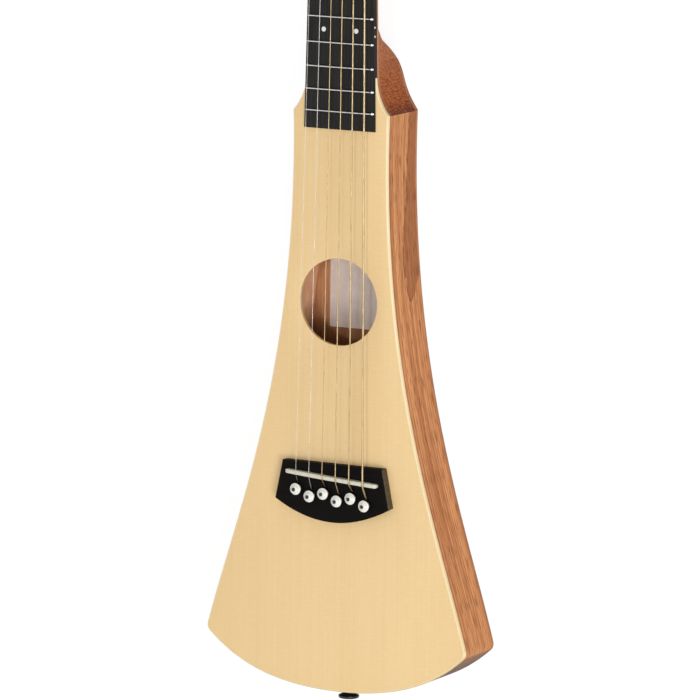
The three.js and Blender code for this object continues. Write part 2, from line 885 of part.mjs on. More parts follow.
// Turns round a post, in the headstock's frame, starting where the string comes up to it.
function windingPoints(string) {
  const { sign, x, y } = tunerPlace(string);
  const diameter = stringDiameters[string];
  const radius = postRadius + slipGap + diameter / 2;
  const steps = windingCount * windingStepsPerTurn;
  const points = [];
  for (let step = 0; step <= steps; step += 1) {
    const turns = step / windingStepsPerTurn;
    const angle = 2 * Math.PI * turns;
    points.push(new THREE.Vector3(
      x - sign * radius * Math.cos(angle),
      y + radius * Math.sin(angle),
      windingHeight - turns * (diameter + windingGap),
    ));
  }
  return points;
}

function stringRoute(string) {
  const diameter = stringDiameters[string];
  const radius = diameter / 2;
  const pin = pinPlaces[string];
  const ballReach = pin.y + pinTipRadius + slipGap + ballRadius;
  const dropReach = pin.y + stringDropReach;
  const leaveReach = pin.y + pinHeadRadius + slipGap + radius;
  const saddleX = stringShift(string) * stringPitchAtSaddle;
  const saddleReachHere = saddleLine(saddleX);
  const onSaddle = saddleTop(saddleX) + seatGap + slipGap + radius;
  const nutX = stringShift(string) * stringPitchAtNut;
  const place = (x, y, z) => new THREE.Vector3(x, y, z);
  return [
    place(pin.x, ballReach, plateBottom - slipGap - ballRadius),
    place(pin.x, dropReach, plateBottom),
    place(pin.x, dropReach, bodyDepth),
    place(pin.x, (dropReach + leaveReach) / 2, bodyDepth + bridgeThickness / 2),
    place(pin.x, leaveReach, bridgeTop),
    place(saddleX, saddleReachHere - saddleThickness / 2, onSaddle - seatGap - slipGap / 2),
    place(saddleX, saddleReachHere, onSaddle),
    place(saddleX, saddleReachHere + saddleThickness / 2, onSaddle - seatGap / 2),
    place(nutX, scaleLength, stringLevelAtNut),
    place(nutX, nutEnd, stringLevelAtNut - nutBackDrop / 2),
    ...windingPoints(string).map((point) => point.applyMatrix4(head.matrixWorld)),
  ];
}

function makeString(string) {
  const points = stringRoute(string);
  const section = new THREE.Shape();
  section.absarc(0, 0, stringDiameters[string] / 2, 0, 2 * Math.PI, false);
  const outline = section.getPoints(cordSides / 2).slice(0, -1);
  const cord = new THREE.ExtrudeGeometry(new THREE.Shape(outline), {
    steps: points.length - 1,
    extrudePath: new Route(points),
    bevelEnabled: false,
  });
  const ball = new THREE.SphereGeometry(ballRadius, cordSides, cordSides / 2);
  ball.translate(...points[0].toArray());
  return join([cord, ball]);
}

stringDiameters.forEach((diameter, string) => {
  addPiece(`string_${string + 1}`, makeString(string), string < 2 ? 'plainSteel' : 'bronze');
});

// The least gap between one turn and the next, measured on the turns' points.
function leastWindingGap() {
  const gaps = stringDiameters.map((diameter, string) => {
    const points = windingPoints(string);
    const apart = points.slice(windingStepsPerTurn).map((point, i) => point.distanceTo(points[i]));
    return Math.min(...apart) - diameter;
  });
  return Math.min(...gaps);
}

console.log(`Least gap between a string's turns: ${leastWindingGap().toFixed(2)} mm`);

// Tuning machines, in the headstock's frame with Z out of its face

const gearTop = -headThickness - slipGap - gearDrop;
const gearMiddle = gearTop - gearThickness / 2;
const wormOffset = gearRadius + slipGap + wormRadius;
const housingFloor = gearMiddle - wormRadius - slipGap - housingWall;
const cavityHalf = gearRadius + 2 * slipGap;
const wormSide = wormOffset + wormRadius + slipGap;
const housingOut = cavityHalf + housingWall;

function gearOutline() {
  const outline = [];
  for (let tooth = 0; tooth < gearTeeth; tooth += 1) {
    const point = (radius, third) => {
      const angle = (2 * Math.PI * (tooth + third / 3)) / gearTeeth;
      return new THREE.Vector2(radius * Math.cos(angle), radius * Math.sin(angle));
    };
    outline.push(point(gearRootRadius, 0), point(gearRadius, 1), point(gearRadius, 2));
  }
  return outline;
}

// The post with its gear; the string hole crosses it under its cap.
function makePost() {
  const foot = housingFloor + housingWall + slipGap;
  const waistTop = windingHeight + Math.max(...stringDiameters);
  const waistBottom = waistTop - windingCount * (Math.max(...stringDiameters) + windingGap) - windingGap;
  const profile = [
    new THREE.Vector2(0, foot),
    new THREE.Vector2(postRadius, foot),
    new THREE.Vector2(postRadius, waistBottom - windingGap),
    new THREE.Vector2(postWaistRadius, waistBottom),
    new THREE.Vector2(postWaistRadius, waistTop),
    new THREE.Vector2(postRadius, waistTop + windingGap),
    new THREE.Vector2(postRadius, postRise - windingGap),
    new THREE.Vector2(postRadius - windingGap, postRise),
    new THREE.Vector2(0, postRise),
  ];
  const post = new THREE.LatheGeometry(profile, postSides).rotateX(Math.PI / 2);
  const gear = prism(gearOutline(), gearTop - gearThickness, gearTop);
  const hole = new THREE.CylinderGeometry(stringHoleRadius, stringHoleRadius, 4 * postRadius, cordSides);
  hole.rotateZ(Math.PI / 2).translate(0, 0, waistTop);
  return cut(join([post, gear]), [hole]);
}

function roundedRectangle([left, right], [low, high], radius) {
  const shape = new THREE.Shape();
  shape.absarc(right - radius, high - radius, radius, 0, Math.PI / 2, false);
  shape.absarc(left + radius, high - radius, radius, Math.PI / 2, Math.PI, false);
  shape.absarc(left + radius, low + radius, radius, Math.PI, Math.PI * 1.5, false);
  shape.absarc(right - radius, low + radius, radius, Math.PI * 1.5, Math.PI * 2, false);
  return shape.extractPoints(cornerSteps / 2).shape;
}

// The gear case, open towards the headstock, with a bore for the knob's shaft.
function makeHousing(sign) {
  const caseTop = -headThickness - seatGap - slipGap;
  const outside = roundedRectangle(
    [-housingOut, housingOut],
    [-wormSide - housingWall, housingOut],
    housingCornerRadius,
  );
  const cavity = box([-cavityHalf, cavityHalf], [-wormSide, cavityHalf], [
    housingFloor + housingWall,
    caseTop + cutOverrun,
  ]);
  const bore = new THREE.CylinderGeometry(
    knobShaftRadius + slipGap,
    knobShaftRadius + slipGap,
    housingOut,
    boreSides,
  );
  bore.rotateZ(Math.PI / 2).translate(sign * housingOut, -wormOffset, gearMiddle);
  return cut(prism(outside, housingFloor, caseTop), [cavity, bore]);
}

// One piece from the worm in the case, through its shaft, to the oval button.
function makeKnob(sign) {
  const wormEnd = wormLength / 2;
  const buttonStart = headHalfWidth - postHalfSpacing + knobStandoff;
  const stations = [
    [-wormEnd, wormRadius, wormRadius],
    [wormEnd, wormRadius, wormRadius],
    [wormEnd, knobShaftRadius, knobShaftRadius],
    [buttonStart, knobShaftRadius, knobShaftRadius],
    ...knobShares.map(([lengthShare, widthShare]) => [
      buttonStart + knobLength * lengthShare,
      knobHalfWidth * widthShare,
      knobHalfThickness * widthShare ** (1 / 2),
    ]),
  ];
  return loft(stations.map(([x, halfWidth, halfThickness]) => {
    const ring = [];
    for (let side = 0; side < knobSides; side += 1) {
      const angle = (2 * Math.PI * side) / knobSides;
      ring.push(new THREE.Vector3(sign * x, halfWidth * Math.cos(angle), halfThickness * Math.sin(angle)));
    }
    return ring;
  }));
}

for (let string = 0; string < stringCount; string += 1) {
  const { sign, x, y } = tunerPlace(string);
  const name = `tuner_${string + 1}`;
  addPiece(`${name}_housing`, makeHousing(sign), 'chrome', head).position.set(x, y, 0);
  addPiece(`${name}_post`, makePost(), 'chrome', head).position.set(x, y, 0);
  addPiece(`${name}_knob`, makeKnob(sign), 'chrome', head).position.set(x, y - wormOffset, gearMiddle);
}

// Strap button and its screw at the middle of the tail

function alongTail(profile, sides) {
  const turned = new THREE.LatheGeometry(profile, sides).rotateX(Math.PI);
  return turned.translate(0, -tailReach, buttonHeightOnTail);
}

function makeStrapButton() {
  const bore = buttonScrewRadius + slipGap;
  const foot = slipGap;
  const neckEnd = buttonHeight - buttonCapThickness;
  const sink = buttonHeight - buttonScrewHeadHeight;
  const sinkRadius = buttonScrewHeadRadius + slipGap;
  return alongTail([
    new THREE.Vector2(bore, foot),
    new THREE.Vector2(buttonBaseRadius, foot),
    new THREE.Vector2(buttonBaseRadius, buttonBaseThickness),
    new THREE.Vector2(buttonWaistRadius, 2 * buttonBaseThickness),
    new THREE.Vector2(buttonWaistRadius, neckEnd - buttonBaseThickness / 2),
    new THREE.Vector2(buttonCapRadius, neckEnd),
    new THREE.Vector2(buttonCapRadius, buttonHeight - slipGap),
    new THREE.Vector2(buttonCapRadius - slipGap, buttonHeight),
    new THREE.Vector2(sinkRadius, buttonHeight),
    new THREE.Vector2(sinkRadius, sink),
    new THREE.Vector2(bore, sink),
    new THREE.Vector2(bore, foot),
  ], pinSides + 2);
}

function makeStrapScrew() {
  const headFoot = buttonHeight - buttonScrewHeadHeight + slipGap;
  return alongTail([
    new THREE.Vector2(0, -buttonScrewLength),
    new THREE.Vector2(buttonScrewRadius, buttonScrewRadius - buttonScrewLength),
    new THREE.Vector2(buttonScrewRadius, headFoot),
    new THREE.Vector2(buttonScrewHeadRadius, headFoot),
    new THREE.Vector2(buttonScrewHeadRadius, buttonHeight),
    new THREE.Vector2(0, buttonHeight),
  ], pinSides + 2);
}

addPiece('strap_button', makeStrapButton(), 'plasticBlack');
addPiece('strap_button_screw', makeStrapScrew(), 'chrome');

export default guitar;
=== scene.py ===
"""Looks of the steel-string travel guitar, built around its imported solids.

Sizes are millimetres in the solids' own frame: X runs to the bass side, Y from the saddle to the
headstock and Z out of the soundboard. Meshes are turned to metres when a piece is made.
"""

import logging
import math
from dataclasses import dataclass
from enum import Enum

import bmesh
import bpy
import numpy as np
from mathutils import Matrix, Vector
from mathutils.geometry import delaunay_2d_cdt


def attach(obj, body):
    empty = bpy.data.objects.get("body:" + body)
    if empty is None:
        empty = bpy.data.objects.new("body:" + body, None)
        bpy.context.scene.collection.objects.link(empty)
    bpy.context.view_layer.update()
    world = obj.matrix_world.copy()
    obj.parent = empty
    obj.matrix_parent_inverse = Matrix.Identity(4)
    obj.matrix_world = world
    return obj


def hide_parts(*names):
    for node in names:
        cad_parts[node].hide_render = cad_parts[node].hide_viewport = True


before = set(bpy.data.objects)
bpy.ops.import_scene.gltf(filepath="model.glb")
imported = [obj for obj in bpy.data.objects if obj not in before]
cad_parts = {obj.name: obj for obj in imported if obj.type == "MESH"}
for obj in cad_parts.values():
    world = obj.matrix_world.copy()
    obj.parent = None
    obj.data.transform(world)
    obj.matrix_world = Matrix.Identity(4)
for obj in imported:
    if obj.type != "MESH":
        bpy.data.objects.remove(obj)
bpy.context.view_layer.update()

LOG = logging.getLogger("travel_guitar")
MM = 0.001
SHARP = math.radians(33)
HOLE_ROUNDING = 0.3
CRISP = 0.01
Line = np.ndarray
Row = list[int]
Pair = tuple[float, float]
Value = object
Piece = bpy.types.Object
Material = bpy.types.Material
Socket = bpy.types.NodeSocket


# Curves


def bezier(corners: list, steps: int) -> Line:
    """Points along a Bezier curve.

    Args:
        corners: The curve's control points.
        steps: Number of equal steps of its parameter.

    Returns:
        One row for each point, ends included.
    """
    share = np.linspace(0, 1, steps + 1)[:, None]
    last = len(corners) - 1
    return sum(
        math.comb(last, k) * (1 - share) ** (last - k) * share**k * np.asarray(corner, float)
        for k, corner in enumerate(corners)
    )


def smooth_line(knots: list, steps: int) -> Line:
    """Points along a Catmull-Rom curve through every knot.

    Args:
        knots: The places that the curve passes.
        steps: Steps from one knot to the next.

    Returns:
        One row for each point, ends included.
    """
    rows = np.asarray(knots, float)
    padded = np.vstack([2 * rows[0] - rows[1], rows, 2 * rows[-1] - rows[-2]])
    out = []
    for k in range(1, len(padded) - 2):
        a, b, c, d = padded[k - 1 : k + 3]
        for share in np.arange(steps) / steps:
            out.append(
                0.5 * (2 * b + (c - a) * share + (2 * a - 5 * b + 4 * c - d) * share**2
                       + (3 * b - a - 3 * c + d) * share**3)
            )
    return np.array([*out, rows[-1]])


def softened(knots: Line, leg: float, steps: int = 4) -> Line:
    """A line of points whose inner corners are rounded.

    Args:
        knots: The line's corners.
        leg: Length of each corner that is rounded away, on both sides.
        steps: Steps of each rounding.

    Returns:
        The rounded line.
    """
    rows = np.asarray(knots, float)
    out = [rows[0]]
    for before, corner, after in zip(rows, rows[1:], rows[2:]):
        to_before, to_after = before - corner, after - corner
        first = to_before * min(leg / np.linalg.norm(to_before), 0.45)
        second = to_after * min(leg / np.linalg.norm(to_after), 0.45)
        out.extend(bezier([corner + first, corner, corner + second], steps))
    return np.array([*out, rows[-1]])


def offset_loop(loop: Line, distance: float) -> Line:
    """A closed plane loop moved to the left of its run.

    Args:
        loop: The loop's points, X and Y.
        distance: How far each edge moves.

    Returns:
        The moved loop, with as many points.
    """
    run = np.roll(loop, -1, 0) - loop
    run /= np.linalg.norm(run, axis=1)[:, None]
    left = np.stack([-run[:, 1], run[:, 0]], 1)
    before = np.roll(left, 1, 0)
    mitre = (left + before) / (1 + (left * before).sum(1))[:, None]
    return loop + mitre * distance


def turning(loop: Line, anticlockwise: bool) -> Line:
    """A closed plane loop that runs the wanted way round.

    Args:
        loop: The loop's points, X and Y.
        anticlockwise: Which way it has to run.

    Returns:
        The loop, reversed if it ran the other way.
    """
    following = np.roll(loop, -1, 0)
    area = (loop[:, 0] * following[:, 1] - following[:, 0] * loop[:, 1]).sum()
    return loop if (area > 0) == anticlockwise else loop[::-1]


def circle(x: float, y: float, radius: float, sides: int) -> Line:
    """A circle's points in the plane, anticlockwise."""
    angle = np.arange(sides) * 2 * math.pi / sides
    return np.stack([x + radius * np.cos(angle), y + radius * np.sin(angle)], 1)


def both_halves(half: Line) -> Line:
    """A closed outline from its right half, which runs from one end to the other."""
    mirrored = half[::-1] * [-1, 1]
    return np.vstack([half, mirrored[np.abs(mirrored[:, 0]) > 1e-6]])


def lifted(loop: Line, level: float | Line) -> Line:
    """A plane loop as points in space at a level, or at one level for each point."""
    return np.column_stack([loop, np.broadcast_to(level, len(loop))])


def oblong(half_x: float, half_y: float, y: float = 0.0) -> Line:
    """A rectangle's corners in the plane, anticlockwise, with its middle on the Y axis."""
    low, high = y - half_y, y + half_y
    return np.array([(-half_x, low), (half_x, low), (half_x, high), (-half_x, high)])


def rightward(line: Line) -> Line:
    """Directions of length one to the right of a plane line's run, one for each point."""
    run = np.gradient(line, axis=0)
    return np.column_stack([run[:, 1], -run[:, 0]]) / np.linalg.norm(run, axis=1)[:, None]


def travelled(line: Line) -> Line:
    """How far along a line each of its points lies."""
    return np.concatenate([[0], np.cumsum(np.linalg.norm(np.diff(line, axis=0), axis=1))])


def seated(points: Line, place: Matrix) -> Line:
    """Points in space, moved from a frame of their own to the guitar's."""
    rows = np.array(place)
    return points @ rows[:3, :3].T + rows[:3, 3]


# Meshes


class Skin:
    """Points and faces of one piece, gathered in millimetres."""

    def __init__(self) -> None:
        """Starts an empty skin."""
        self.points: list = []
        self.flow: list = []
        self.faces: list = []

    def ring(self, points: Line, flow: Line | None = None) -> Row:
        """Adds a row of points.

        Args:
            points: Places in space.
            flow: Where each point lies along the piece's grain, if it has a map of its own.

        Returns:
            The new points' numbers.
        """
        start = len(self.points)
        self.points.extend(np.asarray(points, float).tolist())
        self.flow.extend(np.asarray(points if flow is None else flow, float).tolist())
        return list(range(start, len(self.points)))

    def face(self, corners: Row, finish: int = 0, flat: bool = False) -> None:
        """Adds one face with its place in the list of finishes, flat or smoothly shaded."""
        self.faces.append((tuple(corners), finish, flat))

    def strip(self, first: Row, second: Row, finish: int = 0, closed: bool = True) -> None:
        """Joins two rows of equal length by four-sided faces.

        Args:
            first: One row's points.
            second: The other row's points.
            finish: The faces' place in the piece's list of finishes.
            closed: Whether the rows are rings.
        """
        for i in range(len(first) - (not closed)):
            j = (i + 1) % len(first)
            self.face([first[i], first[j], second[j], second[i]], finish)

    def stack(self, rows: list[Row], finish: int = 0, closed: bool = True) -> None:
        """Joins each row of a list to the next one by four-sided faces."""
        for first, second in zip(rows, rows[1:]):
            self.strip(first, second, finish, closed)

    def loft(self, rings: list, flat: bool = True) -> None:
        """Joins rings of points into a closed form.

        Args:
            rings: Points of each ring, from one end of the form to the other.
            flat: Whether the two end faces are flat.
        """
        rows = [self.ring(ring) for ring in rings]
        self.stack(rows)
        for end in (rows[0], rows[-1]):
            self.face(end, flat=flat)

    def fan(self, ring: Row, pole: list, finish: int = 0) -> None:
        """Closes a ring with triangles that meet in one new point.

        Args:
            ring: The ring's points.
            pole: Where the triangles meet.
            finish: The faces' place in the piece's list of finishes.
        """
        (middle,) = self.ring([pole])
        for i, corner in enumerate(ring):
            self.face([corner, ring[(i + 1) % len(ring)], middle], finish)

    def lid(self, loops: list[Row], finish: int = 0) -> None:
        """Closes an outline and the holes in it with flat triangles.

        Args:
            loops: Rings of points, the outline first, all at one level.
            finish: The faces' place in the piece's list of finishes.
        """
        numbers = [n for loop in loops for n in loop]
        flat = np.array([self.points[n][:2] for n in numbers])
        edges, start = [], 0
        for loop in loops:
            edges.extend((start + i, start + (i + 1) % len(loop)) for i in range(len(loop)))
            start += len(loop)
        places, _, triangles, origins, _, _ = delaunay_2d_cdt(
            [Vector(p) for p in flat], edges, [], 1, 1e-7
        )
        ends = flat[np.array(edges)]
        for triangle in triangles:
            middle = sum((Vector(places[k]) for k in triangle), Vector((0, 0))) / 3
            low, high = np.minimum(*ends[:, :, 1].T), np.maximum(*ends[:, :, 1].T)
            crossed = (low <= middle.y) & (high > middle.y)
            (ax, ay), (bx, by) = ends[crossed, 0].T, ends[crossed, 1].T
            beyond = ax + (middle.y - ay) / (by - ay) * (bx - ax) > middle.x
            if beyond.sum() % 2:
                self.face([numbers[origins[k][0]] for k in triangle], finish, flat=True)

    def plate(
        self, loops: list[Line], low: float, high: float, rounding: Pair,
        finishes: tuple[int, int, int] = (0, 0, 0), steps: int = 3,
    ) -> None:
        """A flat plate with through holes and rounded edges.

        Args:
            loops: The outline first, then each hole.
            low: Level of its lower face.
            high: Level of its upper face.
            rounding: Radius of the lower and of the upper edges.
            finishes: Materials of the lower face and the holes, the outer edge and the upper face.
            steps: Steps of each rounding.
        """
        ends: tuple[list, list] = ([], [])
        turns = [math.pi / 2 * k / steps for k in range(steps + 1)]
        for number, loop in enumerate(loops):
            loop = turning(loop, number == 0)
            rows = []
            for radius, level, into, order in (
                (rounding[0], low, 1, turns[::-1]), (rounding[1], high, -1, turns)
            ):
                radius = radius if number == 0 else min(radius, HOLE_ROUNDING)
                for turn in order:
                    moved = offset_loop(loop, radius * (1 - math.cos(turn)))
                    height = level + into * radius * (1 - math.sin(turn))
                    rows.append(self.ring(lifted(moved, height)))
            self.stack(rows, finishes[1] if number == 0 else finishes[0])
            ends[0].append(rows[0])
            ends[1].append(rows[-1])
        self.lid(ends[0], finishes[0])
        self.lid(ends[1], finishes[2])

    def lathe(self, profile: list, sides: int, finishes: list[int] | None = None) -> None:
        """Turns a profile about the Z axis.

        Args:
            profile: Radius and height of each point; a radius of zero is a pole.
            sides: Sides of the turned form.
            finishes: One material place for each step of the profile.
        """
        rows = [
            None if r == 0 else self.ring(lifted(circle(0, 0, r, sides), z)) for r, z in profile
        ]
        for k in range(len(profile) - 1):
            finish = finishes[k] if finishes else 0
            first, second = rows[k], rows[k + 1]
            if first is None or second is None:
                self.fan(second or first, [0, 0, profile[k if first is None else k + 1][1]], finish)
            else:
                self.strip(first, second, finish)

    def piece(self, name: str, finishes: list["Finish"], place: Matrix | None = None) -> Piece:
        """Makes the gathered faces one object whose place is in its mesh.

        Args:
            name: The piece's name.
            finishes: Its finishes, in the order that the faces name them.
            place: Turn and move of the piece, in millimetres.

        Returns:
            The new object.
        """
        corners, places, flats = zip(*self.faces)
        mesh = bpy.data.meshes.new(name)
        mesh.from_pydata(self.points, [], corners)
        mesh.polygons.foreach_set("material_index", places)
        mesh.polygons.foreach_set("use_smooth", [not flat for flat in flats])
        attribute = mesh.attributes.new("flow", "FLOAT_VECTOR", "POINT")
        attribute.data.foreach_set("vector", np.asarray(self.flow).ravel() * MM)
        mesh.transform(Matrix.Scale(MM, 4) @ (place or Matrix.Identity(4)))
        return finished(name, mesh, finishes)


def linked(name: str, data: bpy.types.ID) -> Piece:
    """A new object in the scene for a mesh, a light or a camera.

    Args:
        name: The object's name.
        data: What it shows.

    Returns:
        The new object.
    """
    holder = bpy.data.objects.new(name, data)
    bpy.context.scene.collection.objects.link(holder)
    return holder


def finished(name: str, mesh: bpy.types.Mesh, finishes: list["Finish"]) -> Piece:
    """Links a mesh as an object with outward faces and crisp edges.

    Args:
        name: The piece's name.
        mesh: Its mesh, in metres.
        finishes: Its finishes.

    Returns:
        The new object.
    """
    work = bmesh.new()
    work.from_mesh(mesh)
    bmesh.ops.recalc_face_normals(work, faces=work.faces)
    work.to_mesh(mesh)
    work.free()
    mesh.set_sharp_from_angle(angle=SHARP)
    for finish in finishes:
        mesh.materials.append(finish.material)
    return linked(name, mesh)


def applied(piece: Piece) -> Piece:
    """Turns an object's modifiers into its mesh.

    Args:
        piece: An object with modifiers on it.

    Returns:
        The same object with a plain mesh and no modifier.
    """
    graph = bpy.context.evaluated_depsgraph_get()
    mesh = bpy.data.meshes.new_from_object(piece.evaluated_get(graph), depsgraph=graph)
    piece.modifiers.clear()
    piece.data = mesh
    return piece


def carved(piece: Piece, tools: list[Piece]) -> Piece:
    """Cuts tools out of a piece and removes them.

    Args:
        piece: The piece that is cut.
        tools: Closed objects that are taken away from it.

    Returns:
        The piece with a plain mesh.
    """
    for tool in tools:
        cut = piece.modifiers.new("cut", "BOOLEAN")
        cut.operation, cut.solver, cut.object = "DIFFERENCE", "EXACT", tool
    applied(piece)
    for tool in tools:
        bpy.data.objects.remove(tool)
    piece.data.set_sharp_from_angle(angle=SHARP)
    return piece


def softened_copy(node: str, name: str, finish: "Finish", width: float) -> Piece:
    """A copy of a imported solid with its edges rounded.

    Args:
        node: The solid's name.
        name: The new piece's name.
        finish: Its finish.
        width: How much of each edge is rounded away.

    Returns:
        The new object.
    """
    work = bmesh.new()
    work.from_mesh(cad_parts[node].data)
    bmesh.ops.remove_doubles(work, verts=work.verts, dist=1e-6)
    bmesh.ops.dissolve_limit(work, angle_limit=math.radians(2), verts=work.verts, edges=work.edges)
    mesh = bpy.data.meshes.new(name)
    work.to_mesh(mesh)
    work.free()
    for face in mesh.polygons:
        face.use_smooth = True
    piece = finished(name, mesh, [finish])
    bevel = piece.modifiers.new("rounding", "BEVEL")
    bevel.width, bevel.segments, bevel.limit_method = width * MM, 3, "ANGLE"
    bevel.angle_limit, bevel.harden_normals = math.radians(28), True
    return applied(piece)


def settle(piece: Piece, body: str, slot: str, *nodes: str) -> Piece:
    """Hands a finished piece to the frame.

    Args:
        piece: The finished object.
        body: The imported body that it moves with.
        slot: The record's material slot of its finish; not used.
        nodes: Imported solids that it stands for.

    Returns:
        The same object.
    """
    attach(piece, body)
    if nodes:
        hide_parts(*nodes)
    LOG.info("%s rides on %s, %d faces", piece.name, body, len(piece.data.polygons))
    return piece


# Node trees


class Wiring:
    """Adds nodes to a tree, each with its inputs in one call."""

    def __init__(self, tree: bpy.types.NodeTree) -> None:
        """Keeps the tree that the nodes go into."""
        self.tree = tree

    def add(self, kind: str, inputs: dict | None = None, **settings: Value) -> bpy.types.Node:
        """Adds one node.

        Args:
            kind: Blender's name of the node's type.
            inputs: Values or sockets by the input's name or number.
            settings: The node's own properties.

        Returns:
            The new node.
        """
        node = self.tree.nodes.new(kind)
        for name, value in settings.items():
            setattr(node, name, value)
        for key, value in (inputs or {}).items():
            self.feed(node.inputs[key], value)
        return node

    def feed(self, socket: Socket, value: Value) -> None:
        """Links a socket to another one, or sets its own value.

        Args:
            socket: The input.
            value: The other socket, or the value.
        """
        if isinstance(value, Socket):
            self.tree.links.new(value, socket)
        else:
            socket.default_value = value

    def math(self, kind: str, first: Value, second: Value = 0.0, clamp: bool = False) -> Socket:
        """The result of one sum on numbers."""
        terms = {0: first, 1: second}
        return self.add("ShaderNodeMath", terms, operation=kind, use_clamp=clamp).outputs[0]

    def times(self, first: Value, second: Value) -> Socket:
        """One number times another."""
        return self.math("MULTIPLY", first, second)

    def less(self, first: Value, second: Value) -> Socket:
        """One number less another."""
        return self.math("SUBTRACT", first, second)


class Paint(Wiring):
    """The nodes of one material."""

    def __init__(self, name: str) -> None:
        """Starts a material with Blender's principled shader.

        Args:
            name: The material's name.
        """
        self.material = bpy.data.materials.new(name)
        self.material.use_nodes = True
        super().__init__(self.material.node_tree)
        self.shader = self.tree.nodes["Principled BSDF"]

    def place(self, flow: bool = False) -> Socket:
        """Coordinates on the piece, or along its own flow where it has one.

        Args:
            flow: Whether they follow the piece's own flow.

        Returns:
            A socket with metres.
        """
        if flow:
            return self.add("ShaderNodeAttribute", attribute_name="flow").outputs["Vector"]
        return self.add("ShaderNodeTexCoord").outputs["Object"]

    def noise(self, where: Socket, size: tuple, detail: float = 2.0, shift: float = 0.0) -> Socket:
        """Noise whose specks have a size of their own along each axis.

        Args:
            where: Coordinates in metres.
            size: Millimetres from speck to speck along X, Y and Z.
            detail: Octaves of finer noise.
            shift: Moves the pattern, so that two uses differ.

        Returns:
            A socket with values about a half.
        """
        scaled = self.add(
            "ShaderNodeMapping",
            {"Vector": where, "Location": (shift,) * 3, "Scale": tuple(1 / (MM * s) for s in size)},
        )
        inputs = {"Vector": scaled.outputs[0], "Scale": 1.0, "Detail": detail}
        return self.add("ShaderNodeTexNoise", inputs).outputs[0]

    def band(
        self, value: Value, low: float, high: float, start: float = 0.0, end: float = 1.0
    ) -> Socket:
        """A value between two limits, spread over a new range and clamped to it."""
        inputs = {"Value": value, "From Min": low, "From Max": high, "To Min": start, "To Max": end}
        return self.add("ShaderNodeMapRange", inputs).outputs[0]

    def mix(self, share: Value, first: Value, second: Value) -> Socket:
        """Two colours mixed by a share."""
        inputs = {0: share, 6: first, 7: second}
        return self.add("ShaderNodeMix", inputs, data_type="RGBA").outputs[2]

    def lean(self, aim: tuple) -> Socket:
        """How far the surface faces along an aim: one if straight along it, zero if aside.

        Args:
            aim: A direction of length one.

        Returns:
            A socket from minus one to one.
        """
        normal = self.add("ShaderNodeNewGeometry").outputs["Normal"]
        product = self.add("ShaderNodeVectorMath", {0: normal, 1: aim}, operation="DOT_PRODUCT")
        return product.outputs["Value"]

    def tinted(self, share: Value, first: tuple, second: tuple) -> Socket:
        """Two paint tones mixed by a share."""
        return self.mix(share, shade(*first), shade(*second))

    def over(self, colour: Socket, tone: tuple, mask: Socket, most: float | None = None) -> Socket:
        """A colour under a paint tone, which a mask lays on, fully or by a share at most."""
        share = mask if most is None else self.times(mask, most)
        return self.mix(share, colour, shade(*tone))

    def relief(self, height: Socket, depth: float) -> None:
        """Bumps the surface by a height map of a depth in millimetres."""
        inputs = {"Height": height, "Distance": depth * MM, "Strength": 1.0}
        self.feed(self.shader.inputs["Normal"], self.add("ShaderNodeBump", inputs).outputs[0])

    def done(self, colour: Value, roughness: Value, **fixed: float) -> Material:
        """Sets the shader's sockets.

        Args:
            colour: Base colour, or the socket that gives it.
            roughness: Roughness, or the socket that gives it.
            fixed: Other inputs of the shader by name, with underscores for spaces.

        Returns:
            The finished material.
        """
        self.feed(self.shader.inputs["Base Color"], colour)
        self.feed(self.shader.inputs["Roughness"], roughness)
        for name, value in fixed.items():
            self.shader.inputs[name.replace("_", " ")].default_value = value
        return self.material


def shade(*tone: float) -> tuple:
    """A linear colour from red, green and blue between 0 and 255, as a paint card gives them."""
    linear = [((v / 255 + 0.055) / 1.055) ** 2.4 if v > 10.3 else v / 255 / 12.92 for v in tone]
    return (*linear, 1.0)


